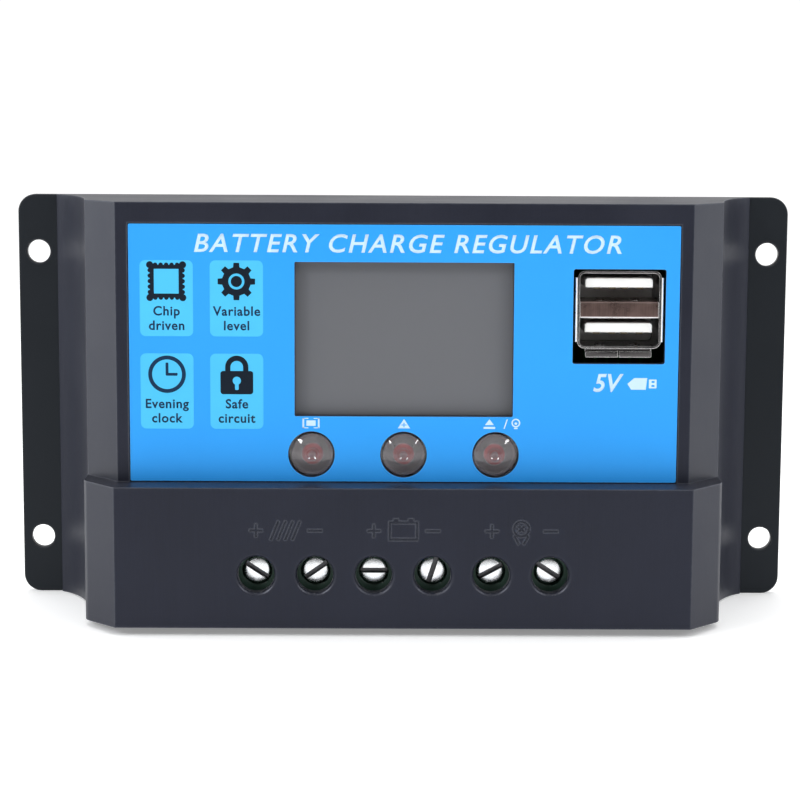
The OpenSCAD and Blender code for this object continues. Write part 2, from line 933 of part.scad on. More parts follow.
module contact_bars() {
    color("#c9a24a")
        for (i = [0:terminal_count - 1]) {
            block(terminal_x(i), (bar_z0 + bar_z1) / 2, bar_w, bar_z1 - bar_z0, bar_back,
                bar_front);
            block(terminal_x(i), leg_z, leg_w, bar_t, board_d - leg_tail, bar_back);
        }
}

// Slotted screw, held in the block by its head; turning it draws the cage forwards
module terminal_screw(i) {
    color("#d6d6d2")
        translate([terminal_x(i), 0, screw_z])
            difference() {
                union() {
                    rod(0, 0, head_d, head_back, head_back + head_t);
                    rod(0, 0, shank_d, bar_front + part_gap / 2, head_back);
                }
                rotate([0, -slot_angles[i], 0])
                    block(0, 0, head_d + cut, slot_w, head_back + head_t - slot_d,
                        head_back + head_t + cut);
            }
}

module clamp_cage(i) {
    color("#b7bac0")
        translate([terminal_x(i), 0, 0])
            difference() {
                block(0, screw_z, cage_w, cage_l, cage_floor, cage_front);
                block(0, screw_z, cage_w - 2 * cage_side, cage_l + cut, cage_floor + cage_t,
                    cage_head_back);
                rod(0, screw_z, shank_d + slip_gap, cage_head_back - cut, cage_front + cut);
            }
}

module terminal_screw_1() { terminal_screw(0); }
module terminal_screw_2() { terminal_screw(1); }
module terminal_screw_3() { terminal_screw(2); }
module terminal_screw_4() { terminal_screw(3); }
module terminal_screw_5() { terminal_screw(4); }
module terminal_screw_6() { terminal_screw(5); }
module clamp_cage_1() { clamp_cage(0); }
module clamp_cage_2() { clamp_cage(1); }
module clamp_cage_3() { clamp_cage(2); }
module clamp_cage_4() { clamp_cage(3); }
module clamp_cage_5() { clamp_cage(4); }
module clamp_cage_6() { clamp_cage(5); }

// ---- Power transistors ----

module thermal_pad() {
    pad_w = transistor_xs[3] - transistor_xs[0] + tab_w + 2 * pad_margin.x;
    color("#9aa3ad")
        block(0, tab_z0 + tab_h / 2, pad_w, tab_h + 2 * pad_margin.y, plate_t, tab_back);
}

module transistor_tabs() {
    color("#c2c5c9")
        for (x = transistor_xs)
            difference() {
                block(x, tab_z0 + tab_h / 2, tab_w, tab_h, tab_back, tab_front);
                rod(x, tab_z0 + tab_h - tab_hole_inset, tab_hole_d, tab_back - cut, tab_front + cut);
            }
}

module transistor_bodies() {
    color("#1f2022")
        for (x = transistor_xs)
            block(x, tab_z0 + body_h / 2, tab_w, body_h, tab_front, body_front);
}

module transistor_leads() {
    color("#c9ccd0")
        for (x = transistor_xs)
            for (lead_x = lead_xs) {
                block(x + lead_x, tab_z0 - lead_reach / 2, lead_w, lead_reach, lead_back,
                    lead_back + lead_t);
                block(x + lead_x, lead_z, lead_w, lead_t, lead_back, board_front + lead_tail);
            }
}

module transistor_clamp() {
    color("#a9adb2")
        difference() {
            block(0, clamp_z, 2 * (clamp_screw_x + clamp_end), clamp_h, body_front,
                body_front + clamp_t);
            for (side = [-1, 1])
                rod(side * clamp_screw_x, clamp_z, clamp_screw_d + 2 * slip_gap, body_front - cut,
                    body_front + clamp_t + cut);
        }
}

module clamp_screws() {
    clamp_front = body_front + clamp_t;
    color("#b9bcc0")
        for (side = [-1, 1]) {
            rod(side * clamp_screw_x, clamp_z, clamp_screw_d, part_gap, clamp_front);
            rod(side * clamp_screw_x, clamp_z, clamp_head_d, clamp_front,
                clamp_front + clamp_head_t);
        }
}

back_plate();
front_housing();
face_label();
display_glass();
display_backlight();
display_pins();
main_board();
switch_bodies();
menu_cap();
menu_stem();
up_cap();
up_stem();
down_cap();
down_stem();
usb_shell();
usb_divider();
usb_insulator();
usb_contacts();
terminal_block();
contact_bars();
terminal_screw_1();
terminal_screw_2();
terminal_screw_3();
terminal_screw_4();
terminal_screw_5();
terminal_screw_6();
clamp_cage_1();
clamp_cage_2();
clamp_cage_3();
clamp_cage_4();
clamp_cage_5();
clamp_cage_6();
thermal_pad();
transistor_bodies();
transistor_tabs();
transistor_leads();
transistor_clamp();
clamp_screws();
housing_screws();
board_screws();
capacitors();
inductor_core();
inductor_winding();
microcontroller();
regulator_chip();
chip_leads();
crystal_can();
power_diodes();
shunt_strap();
chip_resistors();
thermistor();
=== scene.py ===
"""The finished look of a wall-mounted solar charge controller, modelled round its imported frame."""

import json
import math

import bmesh
import bpy
from bpy.props import FloatProperty, FloatVectorProperty, PointerProperty, StringProperty
from mathutils import Matrix, Vector

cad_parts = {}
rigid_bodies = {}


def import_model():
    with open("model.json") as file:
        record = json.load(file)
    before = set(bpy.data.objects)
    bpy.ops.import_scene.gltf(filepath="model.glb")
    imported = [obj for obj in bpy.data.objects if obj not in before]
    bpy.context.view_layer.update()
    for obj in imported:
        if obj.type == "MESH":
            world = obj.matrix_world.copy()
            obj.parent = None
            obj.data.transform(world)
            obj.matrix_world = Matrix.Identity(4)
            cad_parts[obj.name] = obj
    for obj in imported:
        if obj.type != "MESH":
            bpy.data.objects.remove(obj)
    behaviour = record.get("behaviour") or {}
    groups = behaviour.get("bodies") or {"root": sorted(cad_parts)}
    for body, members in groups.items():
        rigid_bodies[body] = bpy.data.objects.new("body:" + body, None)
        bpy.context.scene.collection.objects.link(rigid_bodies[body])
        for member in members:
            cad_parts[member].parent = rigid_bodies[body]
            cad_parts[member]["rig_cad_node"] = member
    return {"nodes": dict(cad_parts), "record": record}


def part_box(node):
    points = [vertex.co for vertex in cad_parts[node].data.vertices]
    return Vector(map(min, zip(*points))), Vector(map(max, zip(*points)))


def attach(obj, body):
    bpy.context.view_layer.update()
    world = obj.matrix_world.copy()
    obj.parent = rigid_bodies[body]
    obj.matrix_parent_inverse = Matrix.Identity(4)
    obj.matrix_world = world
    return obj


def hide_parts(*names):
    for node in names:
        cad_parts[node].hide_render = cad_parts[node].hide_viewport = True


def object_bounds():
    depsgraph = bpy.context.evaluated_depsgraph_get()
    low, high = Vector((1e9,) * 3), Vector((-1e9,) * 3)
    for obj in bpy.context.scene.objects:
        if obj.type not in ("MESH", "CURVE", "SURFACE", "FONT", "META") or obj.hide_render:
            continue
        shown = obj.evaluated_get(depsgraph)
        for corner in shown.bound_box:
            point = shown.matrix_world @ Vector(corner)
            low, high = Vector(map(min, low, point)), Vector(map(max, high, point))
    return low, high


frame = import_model()

bl_info = {
    "name": "Solar charge controller",
    "version": (1, 0, 0),
    "blender": (4, 5, 0),
    "location": "3D View > Sidebar > Controller",
    "description": "Models and finishes a wall-mounted solar charge controller",
    "category": "Object",
}

MM = 0.001
CAD_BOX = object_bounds()

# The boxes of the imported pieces. A depth is measured forwards from the wall, along -Y.
COVER_LOW, COVER_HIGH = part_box("front_housing")
PLATE_LOW, PLATE_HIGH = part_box("back_plate")
LABEL_LOW, LABEL_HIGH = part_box("face_label")
GLASS_LOW, GLASS_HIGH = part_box("display_glass")
SHELL_LOW, SHELL_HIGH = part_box("usb_shell")
BAND_LOW, BAND_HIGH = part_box("usb_divider")
CORE_LOW, CORE_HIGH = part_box("usb_insulator")
BUTTONS = ("menu", "up", "down")
TERMINALS = range(6)
CORNERS = [(sx, sz) for sx in (-1, 1) for sz in (-1, 1)]

# How near two corners of a mesh are to merge, to count as level, and to share a bend
MERGE = 1e-7
LEVEL = 1e-6
AT_BEND = 1e-5

# Half the width of the heads of the cover's and the board's screws
COVER_HEAD = 2.75 * MM
BOARD_HEAD = 2.1 * MM

# The socket's sheet metal, and how far from its middle the springs stand
SHEET = 0.4 * MM
SPRING_X = 2.9 * MM


def middle(node):
    """The middle of a node's box."""
    low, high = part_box(node)
    return (low + high) / 2


def length(name, text, value):
    """A size in metres."""
    return FloatProperty(name=name, description=text, default=value, unit="LENGTH", precision=5)


def colour(name, text, value):
    """A linear colour."""
    return FloatVectorProperty(name=name, description=text, default=value, subtype="COLOR",
                               size=3, min=0, max=1)


class CoverSizes(bpy.types.PropertyGroup):
    """Sizes of the plastic cover and the plate behind it"""

    step: length("Step", "How far the terminal section stands in front of the panel", 5.8 * MM)
    step_rise: length("Step rise", "Height of the terminal section", 24.3 * MM)
    skirt: length("Skirt", "Depth of the straight rim at the plate", 0.5 * MM)
    cove: length("Cove", "Width of the hollow curve at each side", 7.6 * MM)
    chamfer: length("Chamfer", "Width of the chamfer at each side", 5.8 * MM)
    chamfer_depth: length("Chamfer depth", "Depth of the chamfer", 7 * MM)
    wall: length("Wall", "Thickness of the front and sides", 2 * MM)
    rim_wall: length("Rim wall", "Thickness of the top and bottom", 2.5 * MM)
    top_draft: length("Top draft", "Lean of the top wall", 0.2 * MM)
    bottom_draft: length("Bottom draft", "Lean of the bottom wall", 1.3 * MM)
    edge: length("Edge", "Rounding of the cover's edges", 0.4 * MM)
    soft_edge: length("Soft edge", "Rounding where the terminal section's chamfers end",
                      1.2 * MM)
    pocket: length("Pocket", "Depth of the pocket for the label", 0.4 * MM)
    pocket_gap: length("Pocket gap", "Gap round the label", 0.15 * MM)
    mark_depth: length("Mark depth", "Depth of the marks over the terminals", 0.2 * MM)
    mark_line: length("Mark line", "Width of the marks' lines", 0.42 * MM)
    plate_corner: length("Plate corner", "Corner radius of the plate", 3 * MM)


class PanelSizes(bpy.types.PropertyGroup):
    """Sizes of the openings in the panel"""

    window_w: length("Window width", "Width of the display window", 35.4 * MM)
    window_h: length("Window height", "Height of the display window", 25 * MM)
    window_rise: length("Window rise", "From the step up to the window", 10.9 * MM)
    button_hole: length("Button hole", "Diameter of the button holes", 7.5 * MM)
    button_pitch: length("Button pitch", "Distance between the button holes", 15 * MM)
    socket_w: length("Socket width", "Width of the opening for the socket", 14.9 * MM)
    socket_h: length("Socket height", "Height of the opening for the socket", 15.3 * MM)
    socket_rise: length("Socket rise", "From the step to the middle of the socket", 27.3 * MM)
    driver_hole: length("Driver hole", "Diameter of the screwdriver holes", 5.9 * MM)
    driver_rim: length("Driver rim", "Rounding of the screwdriver holes", 0.65 * MM)


class PrintSizes(bpy.types.PropertyGroup):
    """Words and sizes of the printing on the label"""

    title: StringProperty(name="Title", description="Heading of the label",
                          default="BATTERY CHARGE REGULATOR")
    title_w: length("Title width", "Width of the heading", 68.9 * MM)
    title_h: length("Title height", "Height of the heading", 2.95 * MM)
    tile_w: length("Tile width", "Width of the four tiles", 8.6 * MM)
    tile_h: length("Tile height", "Height of the four tiles", 12.3 * MM)
    tile_corner: length("Tile corner", "Corner radius of the tiles", 0.9 * MM)
    caption_h: length("Caption height", "Height of a capital in the captions", 1.5 * MM)
    ink: length("Ink", "Thickness of the printing", 0.012 * MM)


class FinishColours(bpy.types.PropertyGroup):
    """Colours of the visible finishes"""

    cover: colour("Cover", "Moulded plastic of the cover", (0.0085, 0.0098, 0.018))
    plate: colour("Plate", "Paint of the back plate", (0.006, 0.0075, 0.0105))
    label: colour("Label", "Blue of the label", (0.018, 0.345, 0.93))
    pale: colour("Tiles", "Paler blue of the tiles", (0.075, 0.53, 0.9))
    navy: colour("Navy", "Dark ink of icons and captions", (0.002, 0.008, 0.018))
    blue_ink: colour("Blue ink", "Dark blue ink of the captions", (0.004, 0.028, 0.075))
    white: colour("White", "White ink", (0.6, 0.8, 0.95))
    display: colour("Display", "Grey of the display", (0.136, 0.139, 0.15))


class StageSettings(bpy.types.PropertyGroup):
    """Floor, lights and camera"""

    camera: FloatVectorProperty(name="Camera", description="Place of the camera", size=3,
                                default=(-2.77 * MM, -377.04 * MM, 48.12 * MM),
                                subtype="TRANSLATION")
    pitch: FloatProperty(name="Pitch", description="How far the camera looks down",
                         default=math.radians(7.405), subtype="ANGLE")
    yaw: FloatProperty(name="Yaw", description="How far the camera turns to the right",
                       default=math.radians(0.354), subtype="ANGLE")
    roll: FloatProperty(name="Roll", description="How far the camera leans to the left",
                        default=math.radians(0.289), subtype="ANGLE")
    lens: FloatProperty(name="Lens", description="Focal length in millimetres", default=97.2)
    world: FloatProperty(name="World", description="Brightness of the studio", default=0.85)


# ---- Modelling ----

def deselect():
    """Leaves edit mode, with nothing selected."""
    if bpy.context.mode != "OBJECT":
        bpy.ops.object.mode_set(mode="OBJECT")
    bpy.ops.object.select_all(action="DESELECT")


def take(*pieces):
    """Selects just these pieces, with the first one active."""
    deselect()
    for piece in pieces:
        piece.select_set(True)
    bpy.context.view_layer.objects.active = pieces[0]


def edit(piece):
    """Opens a piece in edit mode, with all of it selected."""
    take(piece)
    bpy.ops.object.mode_set(mode="EDIT")
    bpy.ops.mesh.select_all(action="SELECT")


def settle(name):
    """Puts the active object's place into its mesh, and names it."""
    piece = bpy.context.object
    bpy.ops.object.transform_apply(location=True, rotation=True, scale=True)
    piece.name = piece.data.name = name
    return piece


def modify(piece, kind, **settings):
    """Adds a modifier and applies it."""
    take(piece)
    modifier = piece.modifiers.new(kind, kind)
    for key, value in settings.items():
        setattr(modifier, key, value)
    bpy.ops.object.modifier_apply(modifier=modifier.name)


def pick(piece, kind, test):
    """In edit mode, selects only the corners, edges or faces that pass the test."""
    bpy.ops.mesh.select_mode(type=kind)
    bpy.ops.mesh.select_all(action="DESELECT")
    mesh = bmesh.from_edit_mesh(piece.data)
    parts = {"VERT": mesh.verts, "EDGE": mesh.edges, "FACE": mesh.faces}[kind]
    for part in parts:
        part.select_set(bool(test(part)))
    mesh.select_flush_mode()
    bmesh.update_edit_mesh(piece.data)


def clean(piece):
    """Closes seams and poles, and points every face outwards."""
    edit(piece)
    bpy.ops.mesh.remove_doubles(threshold=MERGE)
    bpy.ops.mesh.normals_make_consistent(inside=False)
    deselect()


def block(name, low, high):
    """A box between two corners."""
    deselect()
    low, high = Vector(low), Vector(high)
    bpy.ops.mesh.primitive_cube_add(size=1, location=(low + high) / 2, scale=high - low)
    return settle(name)


def slab(name, x, z, w, h, back, front):
    """A box round x, z that spans two depths."""
    return block(name, (x - w / 2, -front, z - h / 2), (x + w / 2, -back, z + h / 2))


def rod(name, x, z, radius, back, front, vertices=48):
    """A round bar along the depth."""
    deselect()
    bpy.ops.mesh.primitive_cylinder_add(
        vertices=vertices, radius=radius, depth=front - back,
        location=(x, -(back + front) / 2, z), rotation=(math.pi / 2, 0, 0))
    return settle(name)


def draw(name, points, closed=True):
    """Draws a line by extruding one corner from point to point, and fills it if it closes."""
    deselect()
    bpy.ops.mesh.primitive_plane_add(size=MM)
    piece = settle(name)
    edit(piece)
    pick(piece, "VERT", lambda v: v.index > 0)
    bpy.ops.mesh.delete(type="VERT")
    bpy.ops.mesh.select_all(action="SELECT")
    mesh = bmesh.from_edit_mesh(piece.data)
    mesh.verts.ensure_lookup_table()
    bpy.ops.transform.translate(value=Vector(points[0]) - mesh.verts[0].co)
    for here, there in zip(points, points[1:]):
        bpy.ops.mesh.extrude_region_move(
            TRANSFORM_OT_translate={"value": Vector(there) - Vector(here)})
    if closed:
        last = len(points) - 1
        pick(piece, "VERT", lambda v: v.index in (0, last))
        bpy.ops.mesh.edge_face_add()
        bpy.ops.mesh.select_all(action="SELECT")
        bpy.ops.mesh.edge_face_add()
    deselect()
    return piece


def extrude(piece, move):
    """Extrudes all of a flat piece into a solid one."""
    edit(piece)
    bpy.ops.mesh.extrude_region_move(TRANSFORM_OT_translate={"value": move})
    bpy.ops.mesh.select_all(action="SELECT")
    bpy.ops.mesh.normals_make_consistent(inside=False)
    deselect()
    return piece


def turn(name, profile, x, z, steps=48):
    """A round piece about an axis along the depth, from (radius, depth) points."""
    piece = draw(name, [Vector((x + r, -depth, z)) for r, depth in profile], closed=False)
    edit(piece)
    bpy.ops.mesh.spin(steps=steps, angle=2 * math.pi, center=(x, 0, z), axis=(0, 1, 0))
    clean(piece)
    return piece


def give_second(piece, first, second, test):
    """Gives a piece two finishes: the second on the faces that pass the test."""
    piece.data.materials.clear()
    piece.data.materials.append(first)
    piece.data.materials.append(second)
    for face in piece.data.polygons:
        face.material_index = 1 if test(face) else 0


def duplicate(piece, name, move=(0, 0, 0), angle=0.0, about=(0, 0, 0)):
    """A copy with its own mesh, turned about the depth axis through a point, then moved."""
    take(piece)
    bpy.ops.object.duplicate(linked=False)
    copy = bpy.context.object
    pivot = Matrix.Translation(about)
    spin = pivot @ Matrix.Rotation(-angle, 4, "Y") @ pivot.inverted()
    copy.matrix_world = Matrix.Translation(move) @ spin
    return settle(name)


def join(name, pieces):
    """Makes one object of several."""
    take(*pieces)
    if len(pieces) > 1:
        bpy.ops.object.join()
    piece = bpy.context.object
    piece.name = piece.data.name = name
    return piece


def cut(piece, *tools):
    """Cuts the tools out of a piece, and throws them away."""
    tool = join("tool", tools)
    modify(piece, "BOOLEAN", object=tool, operation="DIFFERENCE", solver="EXACT", use_self=True)
    bpy.data.objects.remove(tool)
    return piece


def fuse(piece, *others):
    """Joins solids that overlap into one solid."""
    tool = join("tool", others)
    modify(piece, "BOOLEAN", object=tool, operation="UNION", solver="EXACT", use_self=True)
    bpy.data.objects.remove(tool)
    return piece


def corner(edge, least=0.4):
    """Whether an edge stands out from the solid, and bends more than that, in radians."""
    return len(edge.link_faces) == 2 and edge.is_convex and edge.calc_face_angle(0) > least


def square(edge):
    """Whether an edge stands out almost squarely."""
    return corner(edge, 1.2)


def round_edges(piece, width, test=corner, segments=2):
    """Rounds the edges that pass the test."""
    edit(piece)
    pick(piece, "EDGE", test)
    bpy.ops.mesh.bevel(offset=width, offset_type="OFFSET", segments=segments, affect="EDGES",
                       clamp_overlap=True)
    deselect()
    return piece


def polish(piece, angle=35):
    """Shades the piece smooth, with its sharp edges kept and its flats flat."""
    take(piece)
    bpy.ops.object.shade_smooth_by_angle(angle=math.radians(angle))
    modify(piece, "WEIGHTED_NORMAL", keep_sharp=True)
    return piece


def rounded(name, x, z, w, h, radius, back, front, segments=6):
    """A block whose four long corners are rounded."""
    piece = slab(name, x, z, w, h, back, front)

    def is_long(edge):
        a, b = edge.verts
        return abs(a.co.y - b.co.y) > MERGE

    return round_edges(piece, radius, is_long, segments)


def node_copy(node, name):
    """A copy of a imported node, with its triangles merged into whole faces."""
    piece = duplicate(frame["nodes"][node], name)
    del piece["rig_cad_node"]
    piece.parent = None
    edit(piece)
    bpy.ops.mesh.remove_doubles(threshold=LEVEL)
    bpy.ops.mesh.dissolve_limited(angle_limit=math.radians(1))
    deselect()
    return piece


def ride_as(piece, body, slot, *nodes):
    """Puts a piece on its body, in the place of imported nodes."""
    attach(piece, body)
    if nodes:
        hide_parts(*nodes)
    return piece


def fit(piece, body, finish, slot, *nodes):
    """Gives a piece its finish and the body that it rides on."""
    piece.data.materials.clear()
    piece.data.materials.append(finish)
    return ride_as(piece, body, slot, *nodes)


# ---- Nodes that several finishes share ----

def add(tree, kind, values=None, **settings):
    """Adds a shader node. Values are numbers, colours or other nodes' outputs, by socket."""
    node = tree.nodes.new("ShaderNode" + kind)
    for key, value in settings.items():
        setattr(node, key, value)
    for key, value in (values or {}).items():
        if isinstance(value, bpy.types.NodeSocket):
            tree.links.new(value, node.inputs[key])
        else:
            node.inputs[key].default_value = value
    return node


def math_node(tree, operation, *values, clamp=False):
    """The outcome of a sum on numbers or other nodes' outputs."""
    return add(tree, "Math", dict(enumerate(values)), operation=operation,
               use_clamp=clamp).outputs[0]


def new_group(name, inputs, outputs):
    """An empty node group with its sockets."""
    tree = bpy.data.node_groups.new(name, "ShaderNodeTree")
    for label, value in inputs.items():
        socket = tree.interface.new_socket(name=label, in_out="INPUT",
                                           socket_type="NodeSocketFloat")
        socket.default_value = value
    for label in outputs:
        tree.interface.new_socket(name=label, in_out="OUTPUT", socket_type="NodeSocketFloat")
    return tree, tree.nodes.new("NodeGroupInput"), tree.nodes.new("NodeGroupOutput")


def moulded_grain():
    """Fine grain for a bump, and slow patches for colour and gloss."""
    name = "moulded grain"
    if name in bpy.data.node_groups:
        return bpy.data.node_groups[name]
    tree, start, end = new_group(name, {"Fine": 5200.0, "Slow": 60.0}, ("Grain", "Patches"))
    place = add(tree, "TexCoord").outputs["Object"]
    fine = add(tree, "TexNoise", {"Vector": place, "Scale": start.outputs["Fine"], "Detail": 3.0,
                                  "Roughness": 0.65})
    slow = add(tree, "TexNoise", {"Vector": place, "Scale": start.outputs["Slow"], "Detail": 5.0,
                                  "Roughness": 0.6})
    tree.links.new(fine.outputs["Fac"], end.inputs["Grain"])
    tree.links.new(slow.outputs["Fac"], end.inputs["Patches"])
    return tree


def drawn_lines():
    """Long fine lines along the height, as a tool or a brush leaves them."""
    name = "drawn lines"
    if name in bpy.data.node_groups:
        return bpy.data.node_groups[name]
    tree, start, end = new_group(name, {"Across": 4500.0, "Along": 140.0}, ("Lines",))
    place = add(tree, "TexCoord").outputs["Object"]
    stretch = add(tree, "CombineXYZ", {"X": start.outputs["Across"], "Y": start.outputs["Across"],
                                       "Z": start.outputs["Along"]})
    mapped = add(tree, "VectorMath", {0: place, 1: stretch.outputs[0]}, operation="MULTIPLY")
    lines = add(tree, "TexNoise", {"Vector": mapped.outputs[0], "Scale": 1.0, "Detail": 4.0,
                                   "Roughness": 0.7})
    tree.links.new(lines.outputs["Fac"], end.inputs["Lines"])
    return tree


def worn_and_lit_edges():
    """Edges lightened for scuffing and as painted highlights: strongest on the edge itself, and
    broken up.
    """
    name = "worn edges"
    if name in bpy.data.node_groups:
        return bpy.data.node_groups[name]
    tree, start, end = new_group(name, {"Radius": 0.0004, "Break": 900.0}, ("Wear",))
    soft = add(tree, "Bevel", {"Radius": start.outputs["Radius"]}, samples=4)
    true = add(tree, "NewGeometry").outputs["Normal"]
    match = add(tree, "VectorMath", {0: soft.outputs[0], 1: true}, operation="DOT_PRODUCT")
    bend = math_node(tree, "SUBTRACT", 1.0, match.outputs["Value"])
    place = add(tree, "TexCoord").outputs["Object"]
    broken = add(tree, "TexNoise", {"Vector": place, "Scale": start.outputs["Break"],
                                    "Detail": 3.0})
    strength = math_node(tree, "MULTIPLY", bend, 9.0)
    wear_and_glint = math_node(tree, "MULTIPLY", strength, broken.outputs["Fac"], clamp=True)
    tree.links.new(wear_and_glint, end.inputs["Wear"])
    return tree


def settled_dust():
    """A little dust on what faces up, in specks."""
    name = "settled dust"
    if name in bpy.data.node_groups:
        return bpy.data.node_groups[name]
    tree, start, end = new_group(name, {"Specks": 2600.0}, ("Dust",))
    up = add(tree, "SeparateXYZ", {0: add(tree, "NewGeometry").outputs["Normal"]}).outputs["Z"]
    facing = math_node(tree, "MULTIPLY", up, 0.7, clamp=True)
    place = add(tree, "TexCoord").outputs["Object"]
    specks = add(tree, "TexNoise", {"Vector": place, "Scale": start.outputs["Specks"],
                                    "Detail": 4.0, "Roughness": 0.8})
    sharp = add(tree, "MapRange", {"Value": specks.outputs["Fac"], "From Min": 0.52,
                                   "From Max": 0.75})
    dust = math_node(tree, "MULTIPLY", facing, sharp.outputs[0], clamp=True)
    tree.links.new(dust, end.inputs["Dust"])
    return tree


def use(tree, group, **values):
    """Places a shared group in a material."""
    node = tree.nodes.new("ShaderNodeGroup")
    node.node_tree = group
    for key, value in values.items():
        node.inputs[key].default_value = value
    return node.outputs


def mix(tree, factor, first, second):
    """A colour between two others."""
    node = add(tree, "Mix", data_type="RGBA")
    for socket, value in ((node.inputs[0], factor), (node.inputs[6], first),
                          (node.inputs[7], second)):
        if isinstance(value, bpy.types.NodeSocket):
            tree.links.new(value, socket)
        elif isinstance(value, float):
            socket.default_value = value
        else:
            socket.default_value = (*value, 1)
    return node.outputs[2]


def between(tree, value, low, high):
    """Maps a mask that runs from about 0.3 to 0.7 onto a range."""
    return add(tree, "MapRange", {"Value": value, "From Min": 0.3, "From Max": 0.7,
                                  "To Min": low, "To Max": high}).outputs[0]


def shade(colour, factor):
    """A colour made darker or lighter."""
    return tuple(min(1.0, c * factor) for c in colour)


def finish(name, base, rough, metallic=0.0, fine=5200.0, slow=60.0, change=0.12, bump=0.2,
           depth=0.00001, lines=0.0, wear_and_glint=0.0, worn=(0.3, 0.3, 0.32), radius=0.0004,
           dust=0.0, **sockets):
    """A finish with grain, patches, drawn lines, dust and edges lightened for scuffing and as
    painted highlights, each as strong as given.
    """
    if name in bpy.data.materials:
        return bpy.data.materials[name]
    material = bpy.data.materials.new(name)
    material.use_nodes = True
    tree = material.node_tree
    shader = tree.nodes["Principled BSDF"]
    grain = use(tree, moulded_grain(), Fine=fine, Slow=slow)
    tone = mix(tree, between(tree, grain["Patches"], 0.0, 1.0), shade(base, 1 - change),
               shade(base, 1 + change))
    height = grain["Grain"]
    gloss = between(tree, grain["Patches"], rough[0], rough[1])
    if lines:
        drawn = use(tree, drawn_lines())["Lines"]
        height = math_node(tree, "ADD", height, math_node(tree, "MULTIPLY", drawn, lines))
        tone = mix(tree, between(tree, drawn, 0.0, 0.5), tone, shade(base, 1 + 2 * change))
    # The edge mask lightens edges, for scuffing and as painted highlights where edges catch the
    # light
    if wear_and_glint:
        mask = math_node(tree, "MULTIPLY", use(tree, worn_and_lit_edges(), Radius=radius)["Wear"], wear_and_glint)
        tone = mix(tree, mask, tone, worn)
    if dust:
        mask = math_node(tree, "MULTIPLY", use(tree, settled_dust())["Dust"], dust)
        tone = mix(tree, mask, tone, (0.35, 0.35, 0.36))
        gloss = math_node(tree, "ADD", gloss, math_node(tree, "MULTIPLY", mask, 0.4), clamp=True)
    relief = add(tree, "Bump", {"Height": height, "Strength": bump, "Distance": depth})
    tree.links.new(tone, shader.inputs["Base Color"])
    tree.links.new(gloss, shader.inputs["Roughness"])
    tree.links.new(relief.outputs[0], shader.inputs["Normal"])
    shader.inputs["Metallic"].default_value = metallic
    for key, value in sockets.items():
        shader.inputs[key.replace("_", " ")].default_value = value
    return material


# ---- Finishes ----

def colours():
    return bpy.context.scene.controller_colours


def cover_plastic():
    # The edge mask is strong here: partly scuffing, partly painted highlight on hole rims and the
    # marks' edges
    return finish("cover plastic", tuple(colours().cover), (0.36, 0.48), fine=3600.0, slow=45.0,
                  change=0.15, bump=0.5, depth=0.00003, lines=0.8, wear_and_glint=0.5,
                  worn=(0.16, 0.17, 0.2), dust=0.7, Specular_IOR_Level=0.3,
                  Specular_Tint=(0.84, 0.87, 1.0, 1.0))


def plate_paint():
    return finish("plate paint", tuple(colours().plate), (0.38, 0.5), fine=3800.0, slow=35.0,
                  change=0.12, bump=0.3, depth=0.00002, wear_and_glint=0.4, worn=(0.2, 0.2, 0.21),
                  radius=0.0003, dust=0.12, Specular_IOR_Level=0.24,
                  Specular_Tint=(0.85, 0.93, 1.0, 1.0))


def label_film():
    return finish("label film", tuple(colours().label), (0.4, 0.5), fine=2400.0, slow=25.0,
                  change=0.025, bump=0.12, depth=0.000006, wear_and_glint=0.5, worn=(0.3, 0.65, 1.0),
                  radius=0.00012, Specular_IOR_Level=0.3)


def ink(name, tone):
    return finish(name, tone, (0.42, 0.52), fine=3000.0, slow=80.0, change=0.03, bump=0.1,
                  depth=0.000004, Specular_IOR_Level=0.15)


def pale_ink():
    return ink("pale ink", tuple(colours().pale))


def navy_ink():
    return ink("navy ink", tuple(colours().navy))


def blue_ink():
    return ink("blue ink", tuple(colours().blue_ink))


def white_ink():
    return ink("white ink", tuple(colours().white))


def display_grey():
    return finish("display grey", tuple(colours().display), (0.3, 0.36), fine=900.0, slow=20.0,
                  change=0.01, bump=0.04, depth=0.000003, Specular_IOR_Level=0.3)


def clear_plastic():
    return finish("clear plastic", (0.64, 0.59, 0.61), (0.02, 0.05), fine=700.0, slow=300.0,
                  change=0.03, bump=0.25, depth=0.00003, Transmission_Weight=0.83, IOR=1.49)


def red_plastic():
    return finish("red plastic", (0.3, 0.02, 0.02), (0.12, 0.22), fine=4000.0, slow=500.0,
                  change=0.25, bump=0.3, Specular_IOR_Level=0.4)


def shaded_nickel():
    # Nickel darkened as painted shade on the shell's front, with painted highlights along its edges
    return finish("bright nickel", (0.1, 0.095, 0.095), (0.14, 0.26), metallic=1.0, fine=2500.0,
                  slow=300.0, change=0.15, bump=0.15, depth=0.000008, lines=0.3, wear_and_glint=1.0,
                  worn=(0.95, 0.94, 0.93), radius=0.00025)


def lit_nickel():
    # A lit copy of the nickel: painted highlight for faces that catch the light
    return finish("rubbed nickel", (0.93, 0.92, 0.91), (0.25, 0.4), metallic=0.9, slow=500.0,
                  change=0.06, bump=0.15, depth=0.000006)


def band_painted_reflection():
    # A reddish base as a painted reflection on the band, with painted highlights along its bends
    return finish("band metal", (0.115, 0.078, 0.07), (0.22, 0.36), metallic=1.0, fine=2000.0,
                  slow=260.0, change=0.5, bump=0.15, depth=0.000008, lines=0.1, wear_and_glint=1.6,
                  worn=(0.95, 0.93, 0.92), radius=0.0002)


def white_plastic():
    return finish("white plastic", (0.93, 0.93, 0.91), (0.3, 0.42), fine=3000.0, slow=200.0,
                  change=0.03, bump=0.12)


def dark_plastic():
    return finish("dark plastic", (0.02, 0.02, 0.021), (0.45, 0.6), fine=4000.0, slow=200.0,
                  change=0.2, bump=0.3)


